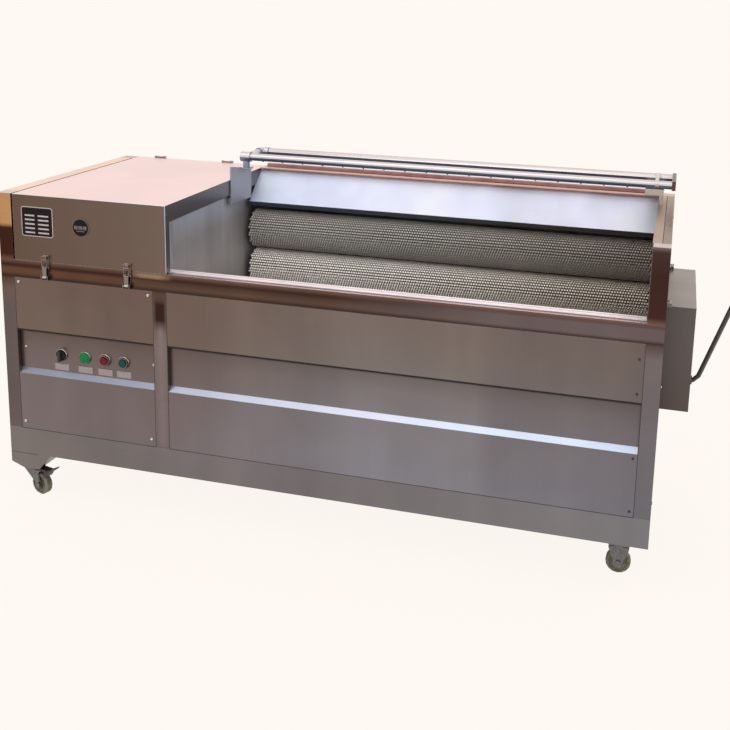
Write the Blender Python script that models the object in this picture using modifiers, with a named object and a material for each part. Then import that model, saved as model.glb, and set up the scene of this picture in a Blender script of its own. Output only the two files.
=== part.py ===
"""Roller vegetable washer: a trough of eight driven brush rollers in a tube frame on four casters."""
import math

import bmesh
import bpy
from mathutils import Matrix, Vector

# Lengths are in metres. x runs right from the left end, y back from the front face,
# z up from the skirt's lower edge.
body_length = 1.740
body_width = 0.674
body_height = 0.738
work_height = 0.558
tube = 0.040
sheet = 0.002
fit = 0.0003
overlap = 0.003
weld_distance = 0.000002
skirt_height = 0.076
rail_depth = 0.049
smooth_angle = math.radians(35)
round_sides = 16
bore_sides = 12

# Brush rollers, in a U: two stacked at the back, the rest on a half circle that opens upwards
roller_radius = 0.059
u_radius = 0.2355
u_offset = 0.0055
u_centre_y = body_width / 2 + u_offset
u_rise = 0.359
u_centre_z = skirt_height + u_rise
half_circle_step = math.radians(30)
stack_gap = 0.006
stack_pitch = 2 * roller_radius + stack_gap

# Places along the body: the drive at the left, the rollers between the bulkhead and the right end wall
mid_post_left = 0.450
lid_post_gap = 0.005
lid_post_cover = 0.002
lid_left = tube + lid_post_gap
lid_right = mid_post_left + tube + lid_post_cover
bulkhead_inset = 0.026
bulkhead_x = mid_post_left + bulkhead_inset
bulkhead_thick = 0.004
bulkhead_drop = 0.048
bulkhead_top = body_height - bulkhead_drop
boss_radius = 0.026
boss_depth = 0.010
shaft_bore = 0.0133
core_depth = 0.006
core_radius = roller_radius - core_depth
shaft_radius = 0.0125
roller_start_gap = 0.0135
roller_end_gap = 0.007
shaft_left_reach = 0.039
shaft_right_reach = 0.013
roller_left = bulkhead_x + bulkhead_thick + roller_start_gap
roller_right = body_length - tube - roller_end_gap
shaft_left = bulkhead_x - shaft_left_reach
shaft_right = body_length - tube + shaft_right_reach
tuft_bands = 5
tuft_length_x = 0.012
tuft_taper_share = 0.62

# Front panels: an upper panel, a strip set back under it, and a slope that leads out to the lower panel
lower_panel_height = 0.161
slope_height = 0.013
strip_height = 0.1145
lower_panel_top = skirt_height + lower_panel_height
strip_bottom = lower_panel_top + slope_height
upper_panel_bottom = strip_bottom + strip_height
strip_recess = 0.013
slope_share = math.tan(math.radians(22.5))

# Controls on the left strip
control_rise = 0.048
control_height = strip_bottom + control_rise
switch_inset = 0.126
switch_x = tube + switch_inset
lamp_spacing = 0.072
stop_spacing = 0.060
start_spacing = 0.056
lamp_x = switch_x + lamp_spacing
stop_x = lamp_x + stop_spacing
start_x = stop_x + start_spacing
bezel_radius = 0.0150
bezel_depth = 0.0080
plunger_radius = 0.0105
plunger_bore = 0.0113
plunger_front = 0.0015
plunger_length = 0.030
knob_radius = 0.0120
knob_depth = 0.0060
grip_length = 0.030
grip_width = 0.0085
grip_depth = 0.0100
stem_radius = 0.0040
stem_bore = 0.0046
lamp_radius = 0.0150
dome_share = 0.8
lamp_dome = 0.0060
lamp_depth = 0.0060

# Casters: two swivel under gussets at the left end, and two are fixed under necks at the right end
floor_drop = 0.128
caster_plate = 0.130
caster_plate_thick = 0.006
gusset_depth = 0.045
gusset_side = 0.030
gusset_top = 0.124
gusset_left = 0.040
gusset_right = 0.086
gusset_thick = 0.080
neck_width = 0.052
neck_depth = 0.050
mount_length = 0.050
mount_width = 0.046
mount_thick = 0.003
left_caster_x = 0.052
left_caster_y = 0.032
right_caster_inset = 0.070
right_caster_x = body_length - right_caster_inset
right_caster_y = 0.104
trail = 0.026
trail_turn_front = math.radians(-15)
trail_turn_back = math.radians(-40)
race_radius = 0.018
race_height = 0.008
wheel_radius = 0.031
wheel_width = 0.021
tread_shoulder = 0.003
wheel_web_outer = 0.024
wheel_web_inner = 0.010
wheel_web_depth = 0.003
hub_width = 0.024
axle_radius = 0.0040
axle_bore = 0.0044
leg_gap = 0.025
leg_thick = 0.002
swivel_leg_back = 0.027
swivel_leg_front = 0.024
fixed_leg = 0.025
crown_rim = 0.0005
leg_round = 0.014
leg_round_points = 6
foot_start = math.radians(20)
foot_sweep = math.radians(220)
axle_head = 0.003
pedal_width = 0.022
pedal_top = 0.001
pedal_reach = 0.084
pedal_bend = 0.060
pedal_rise = 0.012
pedal_thick = 0.004
shoe_reach = 0.054
shoe_width = 0.009
shoe_drop = 0.021

# Outlet in the right end: a window between the rollers, and a box that hangs over it as its door
window_inset = 0.083
window_under_centre = 0.125
window_over_centre = 0.110
window_front = u_centre_y - u_radius + window_inset
window_back = u_centre_y + u_radius - window_inset
window_low = u_centre_z - window_under_centre
window_high = u_centre_z + window_over_centre
door_front_cover = 0.040
door_back_cover = 0.025
door_low_cover = 0.013
door_high_cover = 0.015
door_front = window_front - door_front_cover
door_back = window_back + door_back_cover
door_low = window_low - door_low_cover
door_high = window_high + door_high_cover
door_depth = 0.069
door_pin_radius = 0.0025
door_pin_bore = 0.0031
door_knuckle = 0.0055
door_knuckle_rise = 0.0045
door_knuckle_length = 0.020
door_lug = 0.008
lever_radius = 0.006
lever_inset = 0.050
lever_foot_rise = 0.065
lever_knee_rise = 0.013
lever_rise = 0.219
lever_y = door_front + lever_inset
lever_foot_z = door_low + lever_foot_rise
lever_knee_z = lever_foot_z + lever_knee_rise
lever_knee_reach = 0.019
lever_end_z = lever_knee_z + lever_rise
lever_end_reach = 0.095
lever_boss_radius = 0.011
lever_boss_depth = 0.004

# Trough
liner_front = 0.014
liner_web_clear = 0.0023
liner_web = tube + liner_web_clear
pan_depth = 0.054
pan_rim = skirt_height + pan_depth
liner_pan_gap = 0.010
liner_low = pan_rim + liner_pan_gap
flange_lift = 0.0003
rear_panel_inset = 0.033
rear_panel_front = body_width - rear_panel_inset
baffle_inset = 0.141
baffle_foot_y = body_width - baffle_inset
baffle_drop = 0.088
baffle_foot_z = body_height - baffle_drop
baffle_lip = 0.012
baffle_flange = 0.018
pan_front = tube / 2
pan_wall_clear = 0.0046
pan_wall_front = tube + pan_wall_clear
drain_inset = 0.290
drain_x = body_length - drain_inset
drain_radius = 0.026
drain_bore = 0.023
drain_drop = 0.050

# Drive
drive_drop = 0.148
drive_z = body_height - drive_drop
motor_seat_drop = 0.069
shelf_top = drive_z - motor_seat_drop
shelf_post_gap = 0.050
shelf_right = mid_post_left - shelf_post_gap
shelf_fold = 0.025
shelf_thick = 0.003
gearbox_inset = 0.008
gearbox_length = 0.092
gearbox_rise = 0.062
gearbox_right = shelf_right - gearbox_inset
gearbox_left = gearbox_right - gearbox_length
gearbox_width = 0.116
gearbox_top = drive_z + gearbox_rise
gearbox_foot = 0.150
foot_thick = 0.012
motor_length = 0.210
motor_left = gearbox_left - motor_length
motor_radius = 0.056
fan_cover_length = 0.045
fan_cover_radius = 0.060
terminal_length = 0.080
terminal_width = 0.070
terminal_rise = 0.072
terminal_top = drive_z + terminal_rise
drive_shaft_depth = 0.022
drive_boss_radius = 0.030
drive_boss_length = 0.010
sprocket_inset = 0.0035
sprocket_left = shaft_left + sprocket_inset
sprocket_width = 0.0070
sprocket_teeth = 14
sprocket_tip = 0.0355
sprocket_root = 0.0290
sprocket_hub_radius = 0.020
hub_boss_gap = 0.002
sprocket_hub_right = bulkhead_x - boss_depth - hub_boss_gap
chain_thick = 0.0080
chain_width = 0.0080
chain_clearance = 0.0005
chain_bend = math.radians(20)

# Lid over the drive
lid_skirt_front = 0.022
lid_skirt_top = 0.046
lid_flange_gap = 0.003
lid_flange_low = work_height + lid_flange_gap
catch_inset_left = 0.094
catch_inset_right = 0.111
catch_x_left = lid_left + catch_inset_left
catch_x_right = lid_right - catch_inset_right
catch_width = 0.016
catch_reach = 0.010
catch_rise = 0.011
catch_height = 0.007
catch_low = work_height + catch_rise
catch_high = catch_low + catch_height
hinge_inset_left = 0.074
hinge_inset_right = 0.137
hinge_x_left = lid_left + hinge_inset_left
hinge_x_right = lid_right - hinge_inset_right
hinge_back = 0.0060
hinge_rise = 0.0015
hinge_knuckle = 0.0050
hinge_pin = 0.0024
hinge_bore = 0.0030
hinge_length = 0.022
hinge_lug = 0.007
hinge_leaf_drop = 0.038
hinge_leaf_low = body_height - hinge_leaf_drop
hinge_lug_rise = 0.0034
hinge_lug_drop = 0.013
hinge_lug_start = body_height - hinge_lug_drop
hinge_bridge = 0.0040

# Toggle latches on the front rail
latch_plate_width = 0.020
latch_plate_drop = 0.010
latch_plate_height = 0.037
latch_plate_high = work_height - latch_plate_drop
latch_plate_low = latch_plate_high - latch_plate_height
latch_pivot_y = -0.0080
latch_pivot_rise = 0.0065
latch_pivot_z = latch_plate_low + latch_pivot_rise
latch_pin = 0.0020
latch_pin_bore = 0.0024
latch_ear_thick = 0.0020
latch_ear_reach = 0.0115
latch_ear_height = 0.013
latch_ear_high = latch_plate_low + latch_ear_height
latch_lever_width = 0.0120
latch_lever_thick = 0.0030
latch_lever_length = 0.0285
latch_lever_high = latch_pivot_z + latch_lever_length
latch_knuckle = 0.0045
latch_loop_width = 0.0130
latch_catch_gap = 0.0025
latch_loop_top = catch_low - latch_catch_gap
latch_loop_wire = 0.0016
latch_loop_grip = 0.006
latch_loop_low = latch_lever_high - latch_loop_grip

# Spray pipes over the trough
pipe_radius = 0.011
pipe_rise = 0.0575
pipe_z = body_height + pipe_rise
pipe_front_inset = 0.193
pipe_back_inset = 0.076
pipe_front_y = body_width - pipe_front_inset
pipe_back_y = body_width - pipe_back_inset
pipe_lid_gap = 0.015
pipe_left = lid_right + pipe_lid_gap
pipe_end_plate = 0.010
pipe_right = body_length - pipe_end_plate
pipe_end_margin = 0.0125
elbow_radius = 0.015
neck_radius = 0.010
neck_length = 0.032
neck_foot = pipe_z - neck_length
collar_radius = 0.0135
collar_start = 0.012
collar_length = 0.012
bracket_lid_gap = 0.0005
bracket_left_x = lid_right + bracket_lid_gap
bracket_thick = 0.004
bracket_front_inset = 0.279
bracket_back_inset = 0.134
bracket_drop = 0.076
bracket_front_rise = 0.039
bracket_back_rise = 0.014
bracket_front = body_width - bracket_front_inset
bracket_back = body_width - bracket_back_inset
bracket_low = body_height - bracket_drop
bracket_front_top = body_height + bracket_front_rise
bracket_back_top = body_height + bracket_back_rise
bracket_tab_reach = 0.015
bracket_tab_x = pipe_left + bracket_tab_reach
bracket_tab_width = 0.032
bracket_tab_thick = 0.004
standoff_inset = 0.020
standoff_width = 0.016
standoff_height = 0.020
block_length = 0.048
block_inset = 0.030
block_front_cover = 0.001
block_back_cover = 0.002
block_rise = 0.0295
block_right = body_length - block_inset
block_left = block_right - block_length
block_front = pipe_front_y - block_front_cover
block_back = pipe_back_y + block_back_cover
block_low = body_height + block_rise
block_leg = body_length - tube + sheet
strap_inset = 0.024
strap_left = block_right - strap_inset
strap_width = 0.010
strap_thick = 0.0015
strap_bend = math.radians(30)

# Colours as red, green, blue, with roughness and metallic value
looks = {
    "brown_steel": ((0.42, 0.37, 0.33), 0.38, 0.9),
    "rose_steel": ((0.86, 0.72, 0.68), 0.32, 0.9),
    "pale_steel": ((0.78, 0.80, 0.90), 0.30, 0.9),
    "grey_steel": ((0.48, 0.46, 0.44), 0.42, 0.9),
    "chrome": ((0.80, 0.82, 0.86), 0.12, 1.0),
    "bristle": ((0.46, 0.44, 0.34), 0.85, 0.0),
    "grey_rubber": ((0.30, 0.30, 0.24), 0.65, 0.0),
    "black_plastic": ((0.03, 0.03, 0.03), 0.45, 0.0),
    "green_lens": ((0.02, 0.36, 0.14), 0.25, 0.0),
    "red_plastic": ((0.32, 0.02, 0.05), 0.35, 0.0),
    "teal_plastic": ((0.02, 0.16, 0.15), 0.35, 0.0),
    "cast_paint": ((0.10, 0.22, 0.28), 0.55, 0.0),
    "oiled_steel": ((0.25, 0.23, 0.21), 0.45, 0.9),
}

quarter_turns = {
    "x": Matrix(((0, 0, 1), (1, 0, 0), (0, 1, 0))).to_4x4(),
    "y": Matrix(((1, 0, 0), (0, 0, -1), (0, 1, 0))).to_4x4(),
    "z": Matrix.Identity(4),
}

for leftover in list(bpy.data.objects):
    bpy.data.objects.remove(leftover)

washer_parts = bpy.data.collections.new("roller_vegetable_washer")
bpy.context.scene.collection.children.link(washer_parts)
washer = bpy.data.objects.new("washer_origin", None)
washer_parts.objects.link(washer)


def shape(mesh):
    """Puts a mesh in the scene as a plain object."""
    made = bpy.data.objects.new("shape", mesh)
    washer_parts.objects.link(made)
    return made


def from_bmesh(bm):
    mesh = bpy.data.meshes.new("shape")
    bm.to_mesh(mesh)
    bm.free()
    return shape(mesh)


def baked(made):
    """Replaces an object by the mesh that its curve or modifiers make, with its seams welded."""
    bpy.context.view_layer.update()
    depsgraph = bpy.context.evaluated_depsgraph_get()
    mesh = bpy.data.meshes.new_from_object(made.evaluated_get(depsgraph))
    mesh.transform(made.matrix_world)
    bpy.data.objects.remove(made)
    bm = bmesh.new()
    bm.from_mesh(mesh)
    bmesh.ops.remove_doubles(bm, verts=bm.verts, dist=weld_distance)
    bmesh.ops.recalc_face_normals(bm, faces=bm.faces)
    bm.to_mesh(mesh)
    bm.free()
    return shape(mesh)


def block(low, high):
    """A box between two corners."""
    low, high = Vector(low), Vector(high)
    bm = bmesh.new()
    bmesh.ops.create_cube(bm, size=1)
    place = Matrix.LocRotScale((low + high) / 2, None, high - low)
    bmesh.ops.transform(bm, matrix=place, verts=bm.verts)
    return from_bmesh(bm)


def rod(start, end, radius, sides=round_sides, end_radius=None):
    """A round bar, or a cone where the end radius differs."""
    start, end = Vector(start), Vector(end)
    along = end - start
    bm = bmesh.new()
    bmesh.ops.create_cone(bm, cap_ends=True, segments=sides, radius1=radius,
                          radius2=radius if end_radius is None else end_radius, depth=along.length)
    turn = Vector((0, 0, 1)).rotation_difference(along)
    place = Matrix.LocRotScale((start + end) / 2, turn, None)
    bmesh.ops.transform(bm, matrix=place, verts=bm.verts)
    return from_bmesh(bm)


def plate(outline, holes, axis, low, high):
    """A flat outline with holes, as thick as from low to high along an axis."""
    curve = bpy.data.curves.new("outline", "CURVE")
    curve.dimensions = "2D"
    curve.fill_mode = "BOTH"
    curve.extrude = (high - low) / 2
    for points in [outline, *holes]:
        spline = curve.splines.new("POLY")
        spline.points.add(len(points) - 1)
        for target, (across, up) in zip(spline.points, points):
            target.co = Vector((across, up, 0)).to_4d()
        spline.use_cyclic_u = True
    made = bpy.data.objects.new("plate", curve)
    washer_parts.objects.link(made)
    turn = quarter_turns[axis]
    direction = turn.to_3x3() @ Vector((0, 0, 1))
    middle = abs_direction(direction) * (low + high) / 2
    made.matrix_world = Matrix.Translation(middle) @ turn
    return baked(made)


def abs_direction(direction):
    return Vector([abs(part) for part in direction])


def wire(points, radius, resolution=2):
    """A round bar along points, with filled ends."""
    curve = bpy.data.curves.new("wire", "CURVE")
    curve.dimensions = "3D"
    curve.bevel_depth = radius
    curve.bevel_resolution = resolution
    curve.use_fill_caps = True
    spline = curve.splines.new("POLY")
    spline.points.add(len(points) - 1)
    for target, point in zip(spline.points, points):
        target.co = Vector(point).to_4d()
    made = bpy.data.objects.new("wire", curve)
    washer_parts.objects.link(made)
    return baked(made)


def turned(profile, axis, at, sides=round_sides, closed=False):
    """A round shape about an axis through a point, from (radius, height) pairs down its outer side."""
    count = len(profile)
    edges = [(i, i + 1) for i in range(count - 1)]
    if closed:
        edges.append((count - 1, 0))
    mesh = bpy.data.meshes.new("profile")
    mesh.from_pydata([(radius, 0, height) for radius, height in profile], edges, [])
    made = shape(mesh)
    screw = made.modifiers.new("turn", "SCREW")
    screw.steps = sides
    screw.render_steps = sides
    screw.use_merge_vertices = True
    screw.merge_threshold = weld_distance
    made.matrix_world = Matrix.Translation(at) @ quarter_turns[axis]
    return baked(made)


def apart(pieces):
    """Several shapes that don't touch, as one object for a Boolean."""
    bm = bmesh.new()
    for piece in pieces:
        bm.from_mesh(piece.data)
        bpy.data.objects.remove(piece)
    return from_bmesh(bm)


def boolean(base, tool, operation):
    change = base.modifiers.new("change", "BOOLEAN")
    change.operation = operation
    change.object = tool
    made = baked(base)
    bpy.data.objects.remove(tool)
    return made


def joined(base, *others):
    for other in others:
        base = boolean(base, other, "UNION")
    return base


def cut(base, *cutters):
    for cutter in cutters:
        base = boolean(base, cutter, "DIFFERENCE")
    return base


def node(name, made, look, at=(0, 0, 0), smooth=False):
    """Names a finished piece, gives it its own material and sets its origin at a point."""
    colour, roughness, metallic = looks[look]
    finish = bpy.data.materials.new(name + "_" + look)
    finish.use_nodes = True
    principled = finish.node_tree.nodes["Principled BSDF"]
    principled.inputs["Base Color"].default_value = (*colour, 1)
    principled.inputs["Roughness"].default_value = roughness
    principled.inputs["Metallic"].default_value = metallic
    made.name = name
    made.data.name = name
    made.data.materials.clear()
    made.data.materials.append(finish)
    made.data.transform(Matrix.Translation(-Vector(at)))
    made.location = at
    made.parent = washer
    if smooth:
        made.data.shade_smooth()
        made.data.set_sharp_from_angle(angle=smooth_angle)
    return made


def rectangle(low_across, low_up, high_across, high_up):
    return [(low_across, low_up), (high_across, low_up), (high_across, high_up), (low_across, high_up)]


def circle(centre, radius, count, start=0.0, sweep=math.tau, last=False):
    """Points on an arc about a centre; the last one only where the arc stays open."""
    steps = count - 1 if last else count
    angles = [start + sweep * i / steps for i in range(count)]
    return [(centre[0] + radius * math.cos(a), centre[1] + radius * math.sin(a)) for a in angles]


def roller_centres():
    """Axes as (y, z): first the upper back roller, then down the back, round the bottom and up the front."""
    centres = [(u_centre_y + u_radius, u_centre_z + stack_pitch)]
    for i in range(7):
        angle = math.pi / 2 - i * half_circle_step
        centres.append((u_centre_y + u_radius * math.sin(angle), u_centre_z - u_radius * math.cos(angle)))
    return centres


# Frame

def base_frame():
    outer = rectangle(0, 0, body_length, body_width)
    inner = rectangle(tube, tube, body_length - tube, body_width - tube)
    base = plate(outer, [inner], "z", 0, skirt_height)
    inside = tube - overlap
    far_x = body_length - inside
    far_y = body_width - inside
    corners = [((inside, inside), (caster_plate, caster_plate)),
               ((inside, far_y), (caster_plate, body_width - caster_plate)),
               ((far_x, inside), (body_length - caster_plate, caster_plate)),
               ((far_x, far_y), (body_length - caster_plate, body_width - caster_plate))]
    for (x, y), (end_x, end_y) in corners:
        low = (min(x, end_x), min(y, end_y), 0)
        base = joined(base, block(low, (max(x, end_x), max(y, end_y), caster_plate_thick)))
    wedge = [(0, overlap), (0, -gusset_side), (gusset_left, -gusset_depth), (gusset_right, -gusset_depth),
             (gusset_top, 0), (gusset_top, overlap)]
    base = joined(base, plate(wedge, [], "y", 0, gusset_thick))
    base = joined(base, plate(wedge, [], "y", body_width - gusset_thick, body_width))
    for x, y in caster_places()[2:]:
        low = (x - neck_width / 2, y - neck_depth / 2, -gusset_depth)
        base = joined(base, block(low, (x + neck_width / 2, y + neck_depth / 2, overlap)))
    for x, y in caster_places():
        low = (x - mount_length / 2, y - mount_width / 2, -gusset_depth - mount_thick)
        high = (x + mount_length / 2, y + mount_width / 2, -gusset_depth + overlap / 3)
        base = joined(base, block(low, high))
    node("base_frame", base, "brown_steel")


def front_frame():
    low = skirt_height + fit
    under = work_height - rail_depth
    right = body_length - tube
    mid_right = mid_post_left + tube
    outline = [(0, low), (tube, low), (tube, under), (mid_post_left, under), (mid_post_left, low),
               (mid_right, low), (mid_right, under), (right, under), (right, low), (body_length, low),
               (body_length, body_height), (right, body_height), (right, work_height), (tube, work_height),
               (tube, body_height), (0, body_height)]
    node("front_frame", plate(outline, [], "y", 0, tube), "brown_steel")


def rear_frame():
    low = skirt_height + fit
    under = body_height - tube
    right = body_length - tube
    lid_seat = body_height - sheet - fit
    outline = [(0, low), (tube, low), (tube, under), (right, under), (right, low), (body_length, low),
               (body_length, body_height), (lid_right + fit, body_height), (lid_right + fit, lid_seat),
               (lid_left - fit, lid_seat), (lid_left - fit, body_height), (0, body_height)]
    node("rear_frame", plate(outline, [], "y", body_width - tube, body_width), "brown_steel")


def top_rails():
    front = tube + fit
    back = body_width - tube - fit
    low = body_height - tube
    node("left_top_rail", block((0, front, low), (tube, back, body_height)), "rose_steel")
    seam = body_length - tube / 2
    node("right_top_rail", block((seam + fit, front, low), (body_length, back, body_height)), "brown_steel")


def panels():
    low = skirt_height + fit
    high = body_height - tube - fit
    rear = block((tube + fit, rear_panel_front, low),
                 (body_length - tube - fit, rear_panel_front + sheet, high))
    node("rear_panel", rear, "grey_steel")
    front = tube + fit
    back = body_width - tube - fit
    node("left_side_panel", block((sheet, front, low), (sheet * 2, back, high)), "grey_steel")


def front_panel_outline():
    """The folded sheet seen from the end, as (y, z)."""
    low = skirt_height + fit
    high = work_height - rail_depth - fit
    back = strip_recess + sheet
    drop = sheet * slope_share
    return [(0, low), (sheet, low), (sheet, lower_panel_top - drop), (back, strip_bottom - drop),
            (back, upper_panel_bottom + sheet), (sheet, upper_panel_bottom + sheet), (sheet, high), (0, high),
            (0, upper_panel_bottom), (strip_recess, upper_panel_bottom), (strip_recess, strip_bottom),
            (0, lower_panel_top)]


def drive_front_panel():
    panel = plate(front_panel_outline(), [], "x", tube + fit, mid_post_left - fit)
    front = strip_recess - bezel_depth
    bezels = [rod((x, front, control_height), (x, strip_recess + sheet / 2, control_height), bezel_radius)
              for x in (stop_x, start_x)]
    panel = joined(panel, apart(bezels))
    holes = [(switch_x, stem_bore), (lamp_x, stem_bore), (stop_x, plunger_bore), (start_x, plunger_bore)]
    bores = [rod((x, -overlap, control_height), (x, strip_recess + sheet + overlap, control_height), radius)
             for x, radius in holes]
    node("drive_front_panel", cut(panel, apart(bores)), "brown_steel")


def wash_front_panel():
    left = mid_post_left + tube + fit
    panel = plate(front_panel_outline(), [], "x", left, body_length - tube - fit)
    node("wash_front_panel", panel, "brown_steel")


# Controls

def controls():
    seat = strip_recess - fit
    behind = strip_recess + sheet + plunger_length / 2
    dome = [(0, lamp_depth + lamp_dome), (lamp_radius / 2, lamp_depth + lamp_dome * dome_share),
            (lamp_radius, lamp_depth), (lamp_radius, 0), (0, 0)]
    lamp = turned(dome, "y", (lamp_x, seat, control_height))
    stem = rod((lamp_x, seat - lamp_depth / 2, control_height), (lamp_x, behind, control_height), stem_radius)
    node("power_lamp", joined(lamp, stem), "green_lens", (lamp_x, seat, control_height), smooth=True)

    knob = rod((switch_x, seat, control_height), (switch_x, seat - knob_depth, control_height), knob_radius)
    front = seat - knob_depth
    grip = block((switch_x - grip_width / 2, front - grip_depth, control_height - grip_length / 2),
                 (switch_x + grip_width / 2, front + knob_depth / 2, control_height + grip_length / 2))
    stem = rod((switch_x, front, control_height), (switch_x, behind, control_height), stem_radius)
    node("switch_knob", joined(knob, grip, stem), "black_plastic", (switch_x, seat, control_height))

    for name, x, look in (("stop_button", stop_x, "red_plastic"), ("start_button", start_x, "teal_plastic")):
        end = plunger_front + plunger_length
        plunger = rod((x, plunger_front, control_height), (x, end, control_height), plunger_radius)
        node(name, plunger, look, (x, plunger_front, control_height), smooth=True)


# Casters

def caster_places():
    """The middles of the caster seats as (x, y): the two left ones, then the two right ones."""
    return [(left_caster_x, left_caster_y), (left_caster_x, body_width - left_caster_y),
            (right_caster_x, right_caster_y), (right_caster_x, body_width - right_caster_y)]


def fork_leg(reach, back, front, axle_z, side):
    """One leg of a fork, whose rounded foot holds the axle."""
    foot = circle((reach, axle_z), leg_round, leg_round_points, foot_start, -foot_sweep, last=True)
    low = -race_height - 2 * leg_thick
    outline = [(-back, low), (-back, -race_height), (front, -race_height), (front, low), *foot]
    inner = side * leg_gap / 2
    outer = side * (leg_gap / 2 + leg_thick)
    return plate(outline, [], "y", min(inner, outer), max(inner, outer))


def pedal(front):
    """A brake pedal with its shoe, in the plane of the wheel, bent up at its end."""
    low = -race_height
    outline = [(front - overlap, -pedal_top), (pedal_bend, -pedal_top),
               (pedal_reach, pedal_rise - pedal_top), (pedal_reach, pedal_rise - pedal_top - pedal_thick),
               (pedal_bend + pedal_thick, low + pedal_top), (shoe_reach, -shoe_drop),
               (shoe_reach - shoe_width, -shoe_drop), (shoe_reach - shoe_width, low), (front - overlap, low)]
    return plate(outline, [], "y", -pedal_width / 2, pedal_width / 2)


def fork(reach, back, front, axle_z):
    """A crown with its race, two legs and the axle, about the seat's middle and open towards +x."""
    half = leg_gap / 2 + leg_thick
    rim = crown_rim
    head = rod((0, 0, -race_height - overlap / 3), (0, 0, 0), race_radius)
    crown = block((-back - rim, -half - rim, -race_height - leg_thick),
                  (front + rim, half + rim, -race_height + leg_thick))
    axle = rod((reach, -half - axle_head, axle_z), (reach, half + axle_head, axle_z), axle_radius, bore_sides)
    legs = [fork_leg(reach, back, front, axle_z, side) for side in (1, -1)]
    return joined(head, crown, *legs, axle)


def casters():
    names = ("front_left", "back_left", "front_right", "back_right")
    turns = (trail_turn_front, trail_turn_back, 0, 0)
    top = -gusset_depth - mount_thick - fit
    axle_z = wheel_radius - floor_drop - top
    for name, angle, (x, y) in zip(names, turns, caster_places()):
        swivels = name.endswith("left")
        reach = trail if swivels else 0
        if swivels:
            frame = fork(reach, swivel_leg_back, swivel_leg_front, axle_z)
            frame = joined(frame, pedal(swivel_leg_front))
        else:
            frame = fork(reach, fixed_leg, fixed_leg, axle_z)
        turn = Matrix.Translation((x, y, top)) @ Matrix.Rotation(angle, 4, "Z")
        frame.data.transform(turn)
        node("caster_fork_" + name, frame, "grey_steel", (x, y, top))
        wheel = turned(wheel_profile(), "y", (reach, 0, axle_z), closed=True)
        wheel.data.transform(turn)
        centre = turn @ Vector((reach, 0, axle_z))
        node("caster_wheel_" + name, wheel, "grey_rubber", centre, smooth=True)


def wheel_profile():
    """A solid wheel with a web set in on both faces and a bore for its axle."""
    half = wheel_width / 2
    hub = hub_width / 2
    outer = [(axle_bore, hub), (wheel_web_inner, hub), (wheel_web_inner, half - wheel_web_depth),
             (wheel_web_outer, half - wheel_web_depth), (wheel_web_outer, half),
             (wheel_radius - tread_shoulder, half), (wheel_radius, half - tread_shoulder)]
    return outer + [(radius, -height) for radius, height in reversed(outer)]


# Rollers

def tufted_roller():
    """One roller along x: a drum with bands of four-sided tufts, and a stub shaft at each end."""
    length = roller_right - roller_left
    start = roller_left - shaft_left
    pitch = length / tuft_bands
    lines = [start]
    for i in range(tuft_bands):
        middle = start + i * pitch + pitch / 2
        lines += [middle - tuft_length_x / 2, middle + tuft_length_x / 2]
    lines.append(start + length)
    end = shaft_right - shaft_left
    ups = [(0, 0), (shaft_radius, 0), (shaft_radius, start)] + [(core_radius, x) for x in lines]
    ups += [(shaft_radius, start + length), (shaft_radius, end), (0, end)]
    roller = turned(ups[::-1], "x", (0, 0, 0))
    bm = bmesh.new()
    bm.from_mesh(roller.data)
    bases = [face for face in bm.faces if is_tuft_base(face, start, pitch)]
    for face in bases:
        centre = face.calc_center_median()
        outward = Vector((0, centre.y, centre.z)).normalized()
        tip = bmesh.ops.extrude_discrete_faces(bm, faces=[face])["faces"][0]
        rise = roller_radius - outward.dot(centre)
        for corner in tip.verts:
            spread = (corner.co - centre) * tuft_taper_share
            corner.co = centre + spread + outward * rise
    bm.to_mesh(roller.data)
    bm.free()
    return roller


def is_tuft_base(face, start, pitch):
    """Every second face of a band, one further round in each band, so the tufts lie on slanting lines."""
    centre = face.calc_center_median()
    band = math.floor((centre.x - start) / pitch)
    off_middle = abs((centre.x - start) % pitch - pitch / 2)
    if off_middle > tuft_length_x / 4 or math.hypot(centre.y, centre.z) < (core_radius + shaft_radius) / 2:
        return False
    turn = int(math.atan2(centre.z, centre.y) / math.tau * round_sides + round_sides)
    return (turn + band) % 2 == 0


def toothed_outline():
    points = []
    for i in range(2 * sprocket_teeth):
        radius = sprocket_root if i % 2 else sprocket_tip
        angle = math.pi * i / sprocket_teeth
        points.append((radius * math.cos(angle), radius * math.sin(angle)))
    return points


def rollers():
    brush = tufted_roller()
    wheel = plate(toothed_outline(), [], "x", 0, sprocket_width)
    wheel = joined(wheel, rod((sprocket_width / 2, 0, 0), (sprocket_hub_right - sprocket_left, 0, 0),
                              sprocket_hub_radius))
    wheel = cut(wheel, rod((-overlap, 0, 0), (tube, 0, 0), shaft_radius + fit * 2))
    for i, (y, z) in enumerate(roller_centres(), start=1):
        for name, source, x, look in (("brush_roller_", brush, shaft_left, "bristle"),
                                      ("roller_sprocket_", wheel, sprocket_left, "oiled_steel")):
            copy = shape(source.data.copy())
            copy.data.transform(Matrix.Translation((x, y, z)))
            node(name + str(i), copy, look, (x, y, z))
    bpy.data.objects.remove(brush)
    bpy.data.objects.remove(wheel)


# Walls and trough

def bored_wall(wall, boss_from, boss_to, bore_from, bore_to):
    """Adds a bearing boss for each roller to a wall and bores it."""
    bosses = [rod((boss_from, y, z), (boss_to, y, z), boss_radius, bore_sides) for y, z in roller_centres()]
    bores = [rod((bore_from, y, z), (bore_to, y, z), shaft_bore, bore_sides) for y, z in roller_centres()]
    return cut(joined(wall, apart(bosses)), apart(bores))


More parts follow.
